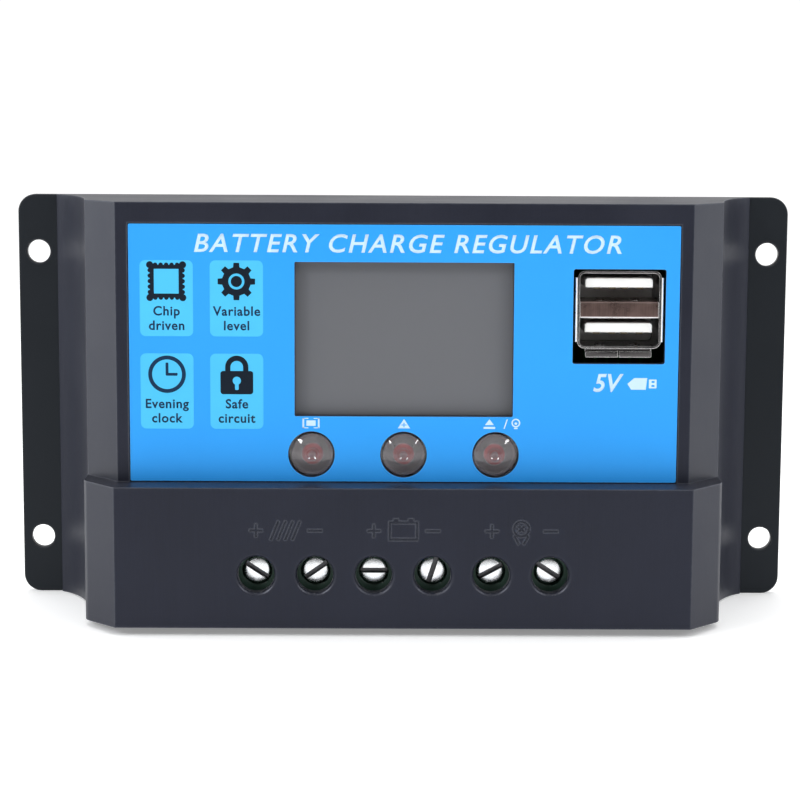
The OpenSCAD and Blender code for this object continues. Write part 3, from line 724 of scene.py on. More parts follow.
def screw_zinc():
    return finish("screw zinc", (0.86, 0.88, 0.89), (0.16, 0.32), metallic=1.0, fine=2200.0,
                  slow=900.0, change=0.15, bump=0.3, depth=0.00002, wear_and_glint=0.3,
                  worn=(0.95, 0.95, 0.95), radius=0.0002)


def slot_shade():
    # A dark copy of the screw metal, as painted shade inside the slot
    return finish("slot steel", (0.12, 0.12, 0.125), (0.35, 0.55), metallic=0.8, fine=3000.0,
                  slow=1500.0, change=0.5, bump=0.6, depth=0.00003)


def block_green():
    return finish("block green", (0.007, 0.042, 0.024), (0.45, 0.6), fine=3500.0, slow=180.0,
                  change=0.15, bump=0.25)


def tinned_steel():
    return finish("tinned steel", (0.62, 0.63, 0.65), (0.22, 0.4), metallic=1.0, fine=2600.0,
                  slow=400.0, change=0.12, bump=0.2, lines=0.5)


def shaded_gold():
    # Far darker than gold, as painted shade on the contacts under the tongues
    return finish("gold plate", (0.14, 0.11, 0.06), (0.25, 0.4), metallic=1.0, slow=700.0,
                  change=0.08, bump=0.1)


def brass():
    return finish("brass", (0.7, 0.5, 0.2), (0.24, 0.42), metallic=1.0, slow=400.0, change=0.12,
                  bump=0.15, lines=0.4)


def copper():
    return finish("copper", (0.62, 0.24, 0.11), (0.22, 0.38), metallic=1.0, slow=600.0,
                  change=0.2, bump=0.2)


def aluminium():
    return finish("aluminium", (0.66, 0.67, 0.69), (0.3, 0.45), metallic=1.0, slow=150.0,
                  change=0.08, bump=0.25, lines=0.9)


def board_lacquer():
    """Green lacquer over copper tracks, which show as faint steps."""
    material = finish("board lacquer", (0.012, 0.085, 0.028), (0.25, 0.4), fine=1500.0,
                      slow=120.0, change=0.2, bump=0.15)
    tree = material.node_tree
    if "Brick Texture" not in tree.nodes:
        place = add(tree, "TexCoord").outputs["Object"]
        tracks = add(tree, "TexBrick", {"Vector": place, "Scale": 260.0, "Mortar Size": 0.06,
                                        "Color1": (0.011, 0.075, 0.025, 1),
                                        "Color2": (0.014, 0.1, 0.03, 1),
                                        "Mortar": (0.03, 0.16, 0.05, 1)})
        tree.links.new(tracks.outputs["Color"], tree.nodes["Principled BSDF"].inputs[0])
    return material


def backlight_white():
    return finish("backlight white", (0.88, 0.88, 0.84), (0.35, 0.5), slow=60.0, change=0.04,
                  bump=0.1, fine=1200.0)


def chip_epoxy():
    return finish("chip epoxy", (0.014, 0.014, 0.015), (0.5, 0.65), fine=6000.0, slow=300.0,
                  change=0.2, bump=0.4, wear_and_glint=0.2, radius=0.0002)


def can_sleeve():
    return finish("can sleeve", (0.02, 0.024, 0.05), (0.2, 0.32), slow=150.0, change=0.1,
                  bump=0.1, fine=900.0)


def ferrite():
    return finish("ferrite", (0.035, 0.036, 0.038), (0.6, 0.8), fine=4500.0, slow=350.0,
                  change=0.25, bump=0.5)


def pad_silicone():
    return finish("pad silicone", (0.24, 0.29, 0.34), (0.6, 0.75), fine=1800.0, slow=200.0,
                  change=0.08, bump=0.4)


# ---- Cover ----

def cove_line(outer, pull, inner, steps=20):
    """A quadratic curve between two points."""
    line = []
    for i in range(steps + 1):
        t = i / steps
        line.append(outer.lerp(pull, t).lerp(pull.lerp(inner, t), t))
    return line


def cover_solid(name, inset):
    """The outside of the cover, or with an inset the room inside it."""
    sizes = bpy.context.scene.controller_cover
    pull_x, pull_depth = 2 * MM, 5 * MM
    clear_of_bend = 0.5 * MM
    back = -COVER_HIGH.y
    panel = -COVER_LOW.y - sizes.step
    skirt_x = COVER_HIGH.x
    cove_x = skirt_x - sizes.cove
    cove_depth = panel - sizes.chamfer_depth
    pull = Vector((cove_x + pull_x, back + pull_depth))
    side = cove_line(Vector((skirt_x, back + sizes.skirt)), pull, Vector((cove_x, cove_depth)))
    side = [point - Vector((inset, 0)) for point in side]
    reach = MM if inset else 0
    slope = sizes.chamfer / sizes.chamfer_depth
    front = Vector((cove_x - sizes.chamfer + inset * (slope - 1), panel - inset))
    half = [Vector((skirt_x - inset, back - reach)), *side, front]
    low = COVER_LOW.z + (sizes.rim_wall if inset else 0)
    high = COVER_HIGH.z - (sizes.rim_wall if inset else 0)
    ledge = COVER_LOW.z + sizes.step_rise - inset
    outline = [Vector((p.x, -p.y, low)) for p in half]
    outline += [Vector((-p.x, -p.y, low)) for p in reversed(half)]
    piece = draw(name, outline)
    edit(piece)
    bpy.ops.mesh.extrude_region_move(TRANSFORM_OT_translate={"value": (0, 0, ledge - low)})
    bpy.ops.mesh.extrude_region_move(TRANSFORM_OT_translate={"value": (0, 0, high - ledge)})
    bpy.ops.mesh.select_all(action="SELECT")
    bpy.ops.mesh.normals_make_consistent(inside=False)

    def stands_forward(face):
        middle_point = face.calc_center_median()
        is_upright = abs(face.normal.z) < 0.1
        is_forward = -middle_point.y > cove_depth + clear_of_bend
        return is_upright and is_forward and middle_point.z < ledge

    pick(piece, "FACE", stands_forward)
    bpy.ops.mesh.extrude_region_move(TRANSFORM_OT_translate={"value": (0, -sizes.step, 0)})
    clean(piece)
    return piece


def lean(piece, point, normal):
    """Slices off what lies beyond a sloping plane, and closes the slice."""
    edit(piece)
    bpy.ops.mesh.bisect(plane_co=point, plane_no=normal, use_fill=True, clear_outer=True,
                        threshold=MERGE)
    deselect()


def hole_tool(x, z, radius, rim, front):
    """A round cutter that flares where it leaves the face, so that the hole's rim is rounded."""
    steps, reach = 5, 4 * MM
    arc = [(radius + rim * (1 - math.cos(a)), front - rim * (1 - math.sin(a)))
           for a in (i / steps * math.pi / 2 for i in range(steps + 1))]
    profile = [(0, front - reach), (radius, front - reach), *arc,
               (radius + rim, front + MM), (0, front + MM)]
    return turn("tool", profile, x, z)


def tilt(piece, x, z, angle):
    """Turns a piece about the depth axis through x, z; up at the right is positive."""
    take(piece)
    pivot = Matrix.Translation((x, 0, z))
    piece.matrix_world = pivot @ Matrix.Rotation(-angle, 4, "Y") @ pivot.inverted()
    return settle(piece.name)


def bar_tool(x, z, w, h, angle, front, depth):
    """A straight cutter for a mark's line."""
    piece = slab("tool", x, z, w, h, front - depth, front + MM)
    return tilt(piece, x, z, angle)


def mark_tools(xs, z, front):
    """Plus and minus signs with a solar panel, a battery and a lamp between them."""
    sizes = bpy.context.scene.controller_cover
    line, depth = sizes.mark_line, sizes.mark_depth
    plus_l, minus_l = 2.2 * MM, 2.4 * MM
    panel_bars, panel_step, panel_l, panel_lean = 4, 1.15 * MM, 3.4 * MM, math.radians(68)
    battery_w, battery_h, pole_w = 4.8 * MM, 3.2 * MM, 0.9 * MM
    bulb_z, bulb_r, filament_l = 0.4 * MM, 1.4 * MM, 1.3 * MM
    foot_x, foot_z, foot_l, foot_lean = 0.75 * MM, -1.4 * MM, 1.7 * MM, math.radians(62)
    tools = []

    def bar(x, dz, w, angle=0.0):
        tools.append(bar_tool(x, z + dz, w, line, angle, front, depth))

    for left, right in zip(xs[::2], xs[1::2]):
        bar(left, 0, plus_l)
        bar(left, 0, plus_l, math.pi / 2)
        bar(right, 0, minus_l)
    panel, battery, lamp = [(a + b) / 2 for a, b in zip(xs[::2], xs[1::2])]
    for i in range(panel_bars):
        bar(panel + (i - (panel_bars - 1) / 2) * panel_step, 0, panel_l, panel_lean)
    for side in (-1, 1):
        bar(battery, side * (battery_h - line) / 2, battery_w)
        bar(battery + side * (battery_w - line) / 2, 0, battery_h, math.pi / 2)
        bar(battery + side * battery_w / 4, (battery_h + line) / 2, pole_w)
    ring = rod("tool", lamp, z + bulb_z, bulb_r, front - depth, front + MM)
    cut(ring, rod("core", lamp, z + bulb_z, bulb_r - line, front - MM, front + 2 * MM))
    tools.append(ring)
    for side in (-1, 1):
        bar(lamp + side * foot_x, foot_z, foot_l, side * foot_lean)
        bar(lamp, bulb_z, filament_l, side * math.pi / 4)
    return tools


def cover_posts(inside_panel, inside_front):
    """Posts for the cover's screws and for the circuit board, with their pilot holes."""
    cover_post_r, cover_post_front = 3 * MM, 16 * MM
    cover_pilot_r, cover_pilot_front = 1.5 * MM, 10.5 * MM
    board_post_r, board_pilot_r, board_pilot_l = 2.75 * MM, 1.1 * MM, 9 * MM
    board_front = -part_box("main_board")[0].y
    screws_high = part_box("housing_screws")[1]
    board_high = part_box("board_screws")[1]
    posts, pilots = [], []
    for sx, sz in CORNERS:
        x, z = sx * (screws_high.x - COVER_HEAD), sz * (screws_high.z - COVER_HEAD)
        posts.append(rod("post", x, z, cover_post_r, -COVER_HIGH.y, cover_post_front, 32))
        pilots.append(rod("pilot", x, z, cover_pilot_r, 0, cover_pilot_front, 24))
        x, z = sx * (board_high.x - BOARD_HEAD), sz * (board_high.z - BOARD_HEAD)
        front = inside_panel if sz > 0 else inside_front
        posts.append(rod("post", x, z, board_post_r, board_front, front, 32))
        pilots.append(rod("pilot", x, z, board_pilot_r, board_front - MM,
                          board_front + board_pilot_l, 24))
    return posts, pilots


def wire_hole(x):
    """A cutter for the hole in the bottom where a wire goes in."""
    w, h, corner_r, back, front = 6.6 * MM, 6 * MM, 0.01 * MM, 13.4 * MM, 20.6 * MM
    return rounded("tool", x, COVER_LOW.z, w, h, corner_r, back, front, 1)


class CONTROLLER_OT_cover(bpy.types.Operator):
    """Models the plastic cover with its coves, chamfers, label pocket, holes and marks"""

    bl_idname = "controller.cover"
    bl_label = "Cover"

    def execute(self, context):
        sizes = context.scene.controller_cover
        panel = context.scene.controller_panel
        front = -COVER_LOW.y
        face = front - sizes.step
        back = -COVER_HIGH.y
        skirt_edge, mark_rise = 0.15 * MM, 7.3 * MM
        piece = cover_solid("cover", 0)
        low, high = COVER_LOW.z, COVER_HIGH.z
        lean(piece, (0, -back, low), Vector((0, -sizes.bottom_draft, -(front - back))))
        lean(piece, (0, -back, high), Vector((0, -sizes.top_draft, face - back)))
        clean(piece)
        skirt = back + sizes.skirt

        def stands_out(edge):
            return corner(edge) and all(-v.co.y > skirt + AT_BEND for v in edge.verts)

        def at_skirt(edge):
            return corner(edge) and all(abs(-v.co.y - skirt) < AT_BEND for v in edge.verts)

        bend_x = COVER_HIGH.x - sizes.cove
        bend_depth = front - sizes.chamfer_depth

        def ends_chamfer(edge):
            return all(abs(abs(v.co.x) - bend_x) < AT_BEND
                       and abs(-v.co.y - bend_depth) < AT_BEND for v in edge.verts)

        round_edges(piece, sizes.soft_edge, ends_chamfer, 5)
        round_edges(piece, sizes.edge, stands_out, 3)
        round_edges(piece, skirt_edge, at_skirt, 2)
        cut(piece, cover_solid("room", sizes.wall))
        posts, pilots = cover_posts(face - sizes.wall / 2, front - sizes.wall / 2)
        fuse(piece, *posts)
        cut(piece, *pilots)
        step_z = low + sizes.step_rise
        pocket_top = LABEL_HIGH.z + sizes.pocket_gap
        pocket_x = LABEL_HIGH.x + sizes.pocket_gap
        cut(piece, slab("pocket", 0, (step_z + pocket_top) / 2, 2 * pocket_x, pocket_top - step_z,
                        face - sizes.pocket, face + MM))
        cut(piece, *panel_tools(0, face - 2 * sizes.wall, face + MM))
        xs = [middle(f"terminal_screw_{i + 1}").x for i in TERMINALS]
        screw_z = middle("terminal_screw_1").z
        cut(piece, *[hole_tool(x, screw_z, panel.driver_hole / 2, panel.driver_rim, front)
                     for x in xs])
        cut(piece, *[wire_hole(x) for x in xs])
        cut(piece, *mark_tools(xs, screw_z + mark_rise, front))
        polish(piece, 33)
        fit(piece, "housing", cover_plastic(), "housing_black", "front_housing")
        return {"FINISHED"}


def panel_tools(grow, back, front):
    """Cutters for the window, the socket opening and the button holes."""
    panel = bpy.context.scene.controller_panel
    window_corner, socket_corner = 0.2 * MM, 0.35 * MM
    step_z = COVER_LOW.z + bpy.context.scene.controller_cover.step_rise
    window_z = step_z + panel.window_rise + panel.window_h / 2
    socket_z = step_z + panel.socket_rise
    tools = [
        rounded("tool", 0, window_z, panel.window_w + grow, panel.window_h + grow, window_corner,
                back, front, 3),
        rounded("tool", middle("usb_shell").x, socket_z, panel.socket_w + grow,
                panel.socket_h + grow, socket_corner, back, front, 3),
    ]
    z = middle("up_cap").z
    for side in (-1, 0, 1):
        tools.append(rod("tool", side * panel.button_pitch, z, (panel.button_hole + grow) / 2,
                         back, front, 64))
    return tools


class CONTROLLER_OT_plate(bpy.types.Operator):
    """Models the steel back plate with its mounting and screw holes"""

    bl_idname = "controller.plate"
    bl_label = "Back plate"

    def execute(self, context):
        sizes = context.scene.controller_cover
        w = PLATE_HIGH.x - PLATE_LOW.x
        h = PLATE_HIGH.z - PLATE_LOW.z
        thick = -PLATE_LOW.y
        edge, rim = 0.2 * MM, 0.15 * MM
        sink_r, shank_r, clamp_r = 3.7 * MM, 1.55 * MM, 1.5 * MM
        piece = rounded("wall_plate", 0, 0, w, h, sizes.plate_corner, 0, thick, 10)
        round_edges(piece, edge, square, 2)
        mount = frame["record"]["mounts"][0]["dims"]
        r = mount["hole_r_mm"] * MM
        hole = [(0, -MM), (r + rim + MM, -MM), (r, rim), (r, thick - rim),
                (r + rim + MM, thick + MM), (0, thick + MM)]
        sink = [(0, -MM), (sink_r, -MM), (shank_r, thick), (shank_r, thick + MM),
                (0, thick + MM)]
        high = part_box("housing_screws")[1]
        tools = []
        for sx, sz in CORNERS:
            tools.append(turn("tool", hole, sx / 2 * mount["spacing_x_mm"] * MM,
                              sz / 2 * mount["spacing_y_mm"] * MM))
        for sx, sz in CORNERS:
            tools.append(turn("tool", sink, sx * (high.x - COVER_HEAD),
                              sz * (high.z - COVER_HEAD)))
        clamp_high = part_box("clamp_screws")[1]
        reach = (clamp_high.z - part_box("clamp_screws")[0].z) / 2
        for side in (-1, 1):
            tools.append(rod("tool", side * (clamp_high.x - reach), clamp_high.z - reach,
                             clamp_r, -MM, thick + MM))
        cut(piece, *tools)
        polish(piece)
        fit(piece, "housing", plate_paint(), "plate_black", "back_plate")
        return {"FINISHED"}


# ---- Label and its printing ----

def flat(name, points):
    """A thin printed shape from (x, z) points, on the face of the label."""
    ink_t = bpy.context.scene.controller_print.ink
    piece = draw(name, [Vector((x, LABEL_LOW.y + ink_t / 2, z)) for x, z in points])
    return extrude(piece, (0, -1.5 * ink_t, 0))


def round_shape(x, z, w, h, radius, steps=6):
    """Points round a rectangle with rounded corners."""
    points = []
    for sx, sz, start in ((1, 1, 0), (-1, 1, 90), (-1, -1, 180), (1, -1, 270)):
        for i in range(steps + 1):
            angle = math.radians(start + 90 * i / steps)
            points.append((x + sx * (w / 2 - radius) + radius * math.cos(angle),
                           z + sz * (h / 2 - radius) + radius * math.sin(angle)))
    return points


def disc_shape(x, z, radius, steps=32):
    """Points round a circle."""
    return [(x + radius * math.cos(2 * math.pi * i / steps),
             z + radius * math.sin(2 * math.pi * i / steps)) for i in range(steps)]


def hollow(piece, points):
    """Cuts a hole of that outline through a printed shape."""
    tool = draw("hole", [Vector((x, LABEL_LOW.y + MM, z)) for x, z in points])
    return cut(piece, extrude(tool, (0, -2 * MM, 0)))


def raise_ink(piece, layers=1):
    """Lifts an ink that is printed over another."""
    edit(piece)
    bpy.ops.transform.translate(value=(0, -layers * bpy.context.scene.controller_print.ink, 0))
    deselect()
    return piece


def lettering(name, words, x, z, height, width=0.0, slant=0.0, weight=0.0, spacing=1.0):
    """Printed words round x on the baseline z; a width squeezes them to fit."""
    size_of_capital = 1.4
    deselect()
    bpy.ops.object.text_add()
    text = bpy.context.object
    text.data.body = words
    text.data.size = size_of_capital * height
    text.data.shear = slant
    text.data.offset = weight * height
    text.data.space_character = spacing
    text.data.resolution_u = 4
    bpy.ops.object.convert(target="MESH")
    piece = settle(name)
    edit(piece)
    bpy.ops.mesh.remove_doubles(threshold=LEVEL)
    bpy.ops.mesh.extrude_region_move(
        TRANSFORM_OT_translate={"value": (0, 0, bpy.context.scene.controller_print.ink)})
    bpy.ops.mesh.select_all(action="SELECT")
    bpy.ops.mesh.normals_make_consistent(inside=False)
    deselect()
    xs = [v.co.x for v in piece.data.vertices]
    left, right = min(xs), max(xs)
    squeeze = width / (right - left) if width else 1.0
    take(piece)
    piece.matrix_world = (Matrix.Translation((x, LABEL_LOW.y, z))
                          @ Matrix.Rotation(math.pi / 2, 4, "X")
                          @ Matrix.Diagonal((squeeze, 1, 1, 1))
                          @ Matrix.Translation((-(left + right) / 2, 0, 0)))
    return settle(name)


class CONTROLLER_OT_label(bpy.types.Operator):
    """Models the printed label in its pocket"""

    bl_idname = "controller.label"
    bl_label = "Label"

    def execute(self, context):
        w = LABEL_HIGH.x - LABEL_LOW.x
        h = LABEL_HIGH.z - LABEL_LOW.z
        z = (LABEL_LOW.z + LABEL_HIGH.z) / 2
        corner_r, edge, hole_gap = 0.25 * MM, 0.06 * MM, 0.1 * MM
        behind, ahead = 25 * MM, 30 * MM
        piece = rounded("label_film", 0, z, w, h, corner_r, -LABEL_HIGH.y, -LABEL_LOW.y, 4)
        cut(piece, *panel_tools(hole_gap, behind, ahead))
        round_edges(piece, edge, lambda e: (
            square(e) and all(v.co.y < LABEL_LOW.y + LEVEL for v in e.verts)))
        polish(piece)
        fit(piece, "housing", label_film(), "label_blue", "face_label")
        return {"FINISHED"}


def tile_places():
    """The middle of each tile, and what is printed on it."""
    left, right, top, bottom = -38.4 * MM, -27.1 * MM, 19.3 * MM, 4.2 * MM
    return [
        (left, top, chip_icon, ("Chip", "driven")),
        (right, top, gear_icon, ("Variable", "level")),
        (left, bottom, clock_icon, ("Evening", "clock")),
        (right, bottom, lock_icon, ("Safe", "circuit")),
    ]


def chip_icon(x, z):
    """A square frame edged with beads, as the legs of a chip."""
    side, opening, bead, corner_bead = 5.3 * MM, 4.0 * MM, 0.36 * MM, 1.6
    last = 3
    pitch = side / (2 * last)
    plate = flat("icon", round_shape(x, z, side, side, 0.2 * MM, 2))
    beads = []
    for i in range(-last, last + 1):
        radius = bead * (corner_bead if abs(i) == last else 1)
        for sign in (-1, 1):
            beads.append(flat("bead", disc_shape(x + i * pitch, z + sign * side / 2, radius, 16)))
            if abs(i) < last:
                beads.append(flat("bead", disc_shape(x + sign * side / 2, z + i * pitch, radius,
                                                     16)))
    fuse(plate, *beads)
    hollow(plate, round_shape(x, z, opening, opening, 0.05 * MM, 1))
    return [plate]


def gear_icon(x, z):
    """A gear with eight teeth round a ring and a dot."""
    outer, root, bore, dot, teeth = 3.05 * MM, 2.35 * MM, 1.3 * MM, 0.9 * MM, 8
    foot, tip = 0.28, 0.19
    points = []
    for i in range(teeth):
        for part, radius in ((-foot, root), (-tip, outer), (tip, outer), (foot, root)):
            angle = 2 * math.pi * (i + part) / teeth
            points.append((x + radius * math.cos(angle), z + radius * math.sin(angle)))
    gear = flat("icon", points)
    hollow(gear, disc_shape(x, z, bore))
    return [gear, flat("dot", disc_shape(x, z, dot))]


def clock_icon(x, z):
    """A ring with two hands."""
    outer, inner, line, corner_r = 3.05 * MM, 2.42 * MM, 0.46 * MM, 0.1 * MM
    long_l, long_rise = 2.1 * MM, 0.85 * MM
    short_l, short_shift = 1.9 * MM, 0.75 * MM
    ring = flat("icon", disc_shape(x, z, outer, 48))
    hollow(ring, disc_shape(x, z, inner, 48))
    long_hand = flat("hand", round_shape(x, z + long_rise, line, long_l, corner_r, 2))
    short_hand = flat("hand", round_shape(x + short_shift, z, short_l, line, corner_r, 2))
    return [ring, fuse(long_hand, short_hand)]


def lock_icon(x, z):
    """A padlock with a keyhole."""
    body_w, body_h, body_z, body_corner = 5.3 * MM, 3.8 * MM, z - 1.32 * MM, 0.45 * MM
    outer, line, steps = 1.88 * MM, 0.85 * MM, 16
    top, foot = z + 1.2 * MM, z + 0.5 * MM
    eye_r, eye_z = 0.68 * MM, body_z + 0.3 * MM
    slit_w, slit_h, slit_z, slit_corner = 0.6 * MM, 1.5 * MM, body_z - 0.45 * MM, 0.15 * MM
    body = flat("icon", round_shape(x, body_z, body_w, body_h, body_corner, 4))
    inner = outer - line
    angles = [math.pi * i / steps for i in range(steps + 1)]
    arch = [(x + outer * math.cos(a), top + outer * math.sin(a)) for a in angles]
    back = [(x - inner * math.cos(a), top + inner * math.sin(a)) for a in angles]
    points = [(x + outer, foot), *arch, (x - outer, foot), (x - inner, foot), *back,
              (x + inner, foot)]
    fuse(body, flat("shackle", points))
    hollow(body, disc_shape(x, eye_z, eye_r, 20))
    hollow(body, round_shape(x, slit_z, slit_w, slit_h, slit_corner, 2))
    return [body]


def dash(x, z, w, h, radius=0.05 * MM):
    """A short printed bar."""
    return flat("mark", round_shape(x, z, w, h, radius, 1))


def screen_mark(x, z):
    """A small screen between two brackets."""
    screen_w, screen_h = 1.5 * MM, 0.9 * MM
    post_x, post_w, post_h = 1.25 * MM, 0.28 * MM, 1.7 * MM
    arm_x, arm_z, arm_w, arm_h, arm_corner = 0.9 * MM, 0.78 * MM, 0.95 * MM, 0.14 * MM, 0.03 * MM
    parts = [dash(x, z, screen_w, screen_h)]
    for side in (-1, 1):
        parts.append(dash(x + side * post_x, z, post_w, post_h))
        for rise in (-1, 1):
            parts.append(dash(x + side * arm_x, z + rise * arm_z, arm_w, arm_h, arm_corner))
    return parts


def raising_mark(x, z):
    """A triangle with a plus in it."""
    half_w, foot, top = MM, 0.75 * MM, 0.8 * MM
    line, plus_w, plus_h, plus_drop, corner_r = (0.16 * MM, 0.85 * MM, 0.75 * MM, 0.2 * MM,
                                                 0.03 * MM)
    mark = flat("mark", [(x - half_w, z - foot), (x + half_w, z - foot), (x, z + top)])
    hollow(mark, round_shape(x, z - plus_drop, plus_w, line, corner_r, 1))
    hollow(mark, round_shape(x, z - plus_drop, line, plus_h, corner_r, 1))
    return [mark]


def lowering_mark(x, z):
    """A small triangle over a bar."""
    half_w, foot, top = 0.72 * MM, 0.15 * MM, 0.8 * MM
    bar_w, bar_h, bar_drop = 1.9 * MM, 0.34 * MM, 0.62 * MM
    return [flat("mark", [(x - half_w, z - foot), (x + half_w, z - foot), (x, z + top)]),
            dash(x, z - bar_drop, bar_w, bar_h)]


def stroke_mark(x, z):
    """A stroke that leans to the right."""
    lean_x, line_x, foot, top = 0.35 * MM, 0.15 * MM, 0.75 * MM, 0.8 * MM
    return [flat("mark", [(x - lean_x, z - foot), (x - line_x, z - foot), (x + lean_x, z + top),
                          (x + line_x, z + top)])]


def lamp_mark(x, z):
    """A round lamp on its foot."""
    outer, inner, bulb_rise = 0.72 * MM, 0.5 * MM, 0.2 * MM
    dot_r, dot_rise = 0.22 * MM, 0.1 * MM
    foot_w, foot_h, foot_drop = 0.6 * MM, 0.24 * MM, 0.68 * MM
    bulb = flat("mark", disc_shape(x, z + bulb_rise, outer, 20))
    hollow(bulb, disc_shape(x, z + bulb_rise, inner, 20))
    return [bulb, flat("mark", disc_shape(x, z + dot_rise, dot_r, 12)),
            dash(x, z - foot_drop, foot_w, foot_h)]


def button_marks():
    """White signs over the buttons: a screen, a raising arrow, and a lowering arrow or lamp."""
    z = -1.0 * MM
    return [*screen_mark(-15.07 * MM, -0.95 * MM), *raising_mark(0.05 * MM, z),
            *lowering_mark(13.95 * MM, z), *stroke_mark(16.6 * MM, z),
            *lamp_mark(18.25 * MM, z)]


def socket_mark():
    """A voltage and a plug under the charging socket."""
    z, volts_x, volts_h, volts_w, volts_slant, volts_weight = (4.45 * MM, 33.2 * MM, 2.9 * MM,
                                                               4.9 * MM, 0.25, 0.03)
    plug_z, plug_half = z + 1.25 * MM, 0.95 * MM
    point_x, low_x, low_end, high_end, high_x = (36.3 * MM, 36.9 * MM, 39.3 * MM, 39.5 * MM,
                                                 37.4 * MM)
    tip_x, tip_w, tip_h, tip_corner = 40.4 * MM, 1.25 * MM, 1.45 * MM, 0.1 * MM
    pin_x, pin_rise, pin_w, pin_h, pin_corner = (40.45 * MM, 0.33 * MM, 0.5 * MM, 0.32 * MM,
                                                 0.03 * MM)
    volts = lettering("volts", "5V", volts_x, z, volts_h, volts_w, volts_slant, volts_weight)
    plug = flat("plug", [(point_x, plug_z), (low_x, plug_z - plug_half),
                         (low_end, plug_z - plug_half), (high_end, plug_z + plug_half),
                         (high_x, plug_z + plug_half)])
    tip = flat("tip", round_shape(tip_x, plug_z, tip_w, tip_h, tip_corner, 2))
    for rise in (-1, 1):
        hollow(tip, round_shape(pin_x, plug_z + rise * pin_rise, pin_w, pin_h, pin_corner, 1))
    return [volts, plug, tip]


class CONTROLLER_OT_printing(bpy.types.Operator):
    """Prints the heading, tiles, icons, captions and signs on the label"""

    bl_idname = "controller.printing"
    bl_label = "Printing"

    def execute(self, context):
        sizes = context.scene.controller_print
        icon_rise, word_drops = 2.75 * MM, (2.75 * MM, 5.1 * MM)
        title_x, title_z = 0.55 * MM, 26.85 * MM
        tiles, icons, captions = [], [], []
        for x, z, icon, words in tile_places():
            tiles.append(flat("tile", round_shape(x, z, sizes.tile_w, sizes.tile_h,
                                                  sizes.tile_corner)))
            same_ink = captions if icon is clock_icon else icons
            same_ink.extend(icon(x, z + icon_rise))
            for word, drop in zip(words, word_drops):
                captions.append(lettering("caption", word, x, z - drop, sizes.caption_h,
                                          spacing=1.1, weight=0.03))
        pieces = [
            (join("label_tiles", tiles), pale_ink, "print_pale", 0),
            (join("label_icons", icons), navy_ink, "print_navy", 1),
            (join("label_captions", captions), blue_ink, "print_navy", 1),
            (lettering("label_title", sizes.title, title_x, title_z, sizes.title_h,
                       sizes.title_w, slant=0.22, weight=0.02, spacing=1.15), white_ink,
             "print_white", 0),
            (join("button_marks", button_marks()), white_ink, "print_white", 0),
            (join("socket_mark", socket_mark()), white_ink, "print_white", 0),
        ]
        for piece, made, slot, layers in pieces:
            raise_ink(piece, layers)
            fit(piece, "housing", made(), slot)
        return {"FINISHED"}


# ---- Display, buttons and charging socket ----

class CONTROLLER_OT_display(bpy.types.Operator):
    """Models the display as two panes with a filter sheet on the front one"""

    bl_idname = "controller.display"
    bl_label = "Display"

    def execute(self, context):
        x = (GLASS_LOW.x + GLASS_HIGH.x) / 2
        z = (GLASS_LOW.z + GLASS_HIGH.z) / 2
        w, h = GLASS_HIGH.x - GLASS_LOW.x, GLASS_HIGH.z - GLASS_LOW.z
        back, front = -GLASS_HIGH.y, -GLASS_LOW.y
        half = (back + front) / 2
        sheet, edge, film_corner = 0.2 * MM, 0.12 * MM, 0.4 * MM
        # The pane stops short of the panel at the bottom, and the film short of the pane all round
        ledge, margin = 2 * MM, MM
        rear = slab("display_panel", x, z, w, h, back, half)
        pane = slab("pane", x, z - ledge / 2, w, h - ledge, half, front - sheet)
        for piece in (rear, pane):
            round_edges(piece, edge)
        film = rounded("film", x, z - ledge / 2, w - margin, h - ledge - margin, film_corner,
                       front - sheet, front, 3)
        piece = polish(join("display_panel", [rear, pane, film]))
        fit(piece, "housing", display_grey(), "display_grey", "display_glass")
        return {"FINISHED"}


def cap_piece(x, z, stem_r, stem_tip):
    """A clear cap: a flange, a domed crown with a dish in it, and a socket for the stem."""
    low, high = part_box("up_cap")
    back, flange_back = -high.y, -high.y + 3 * MM
    flange_w = flange_t = 0.8 * MM
    flange_r = (high.x - low.x) / 2
    cap_r = flange_r - flange_w
    edge = -low.y - 0.75 * MM
    shoulder, rise = 0.24 * MM, 1.15 * MM
    edge_in, edge_up = 0.07 * MM, 0.16 * MM
    dome_r, dome_low, dome_rise = cap_r - shoulder, edge + shoulder, rise - shoulder
    dish_r, dish_d = MM, 0.45 * MM
    rim_depth = dome_low + dome_rise * (1 - (dish_r / dome_r) ** 2)
    fit_r, fit_top = stem_r + 0.03 * MM, stem_tip + 0.02 * MM
    fit_neck, fit_shoulder, fit_bevel = fit_r * 0.7, 0.1 * MM, 0.35 * MM
    skirt_r = stem_r + MM

    def dome(t):
        r = dome_r * t + dish_r * (1 - t)
        return (r, dome_low + dome_rise * (1 - (r / dome_r) ** 2))

    def dish(t):
        return (dish_r * t, rim_depth - dish_d * (1 - t * t))

    profile = [
        (fit_r, back), (skirt_r, back), (skirt_r, flange_back), (flange_r, flange_back),
        (flange_r, flange_back + flange_t), (cap_r, flange_back + flange_t),
        (cap_r, edge), (cap_r - edge_in, edge + edge_up),
        *[dome(t) for t in (1, 0.8, 0.6, 0.4, 0.2)],
        *[dish(t) for t in (1.0, 0.85, 0.7, 0.55, 0.4, 0.25, 0.12)],
        (0, rim_depth - dish_d), (0, fit_top), (fit_neck, fit_top - fit_shoulder),
        (fit_r, fit_top - fit_bevel), (fit_r, back),
    ]
    return turn("cap", profile, x, z, 64)


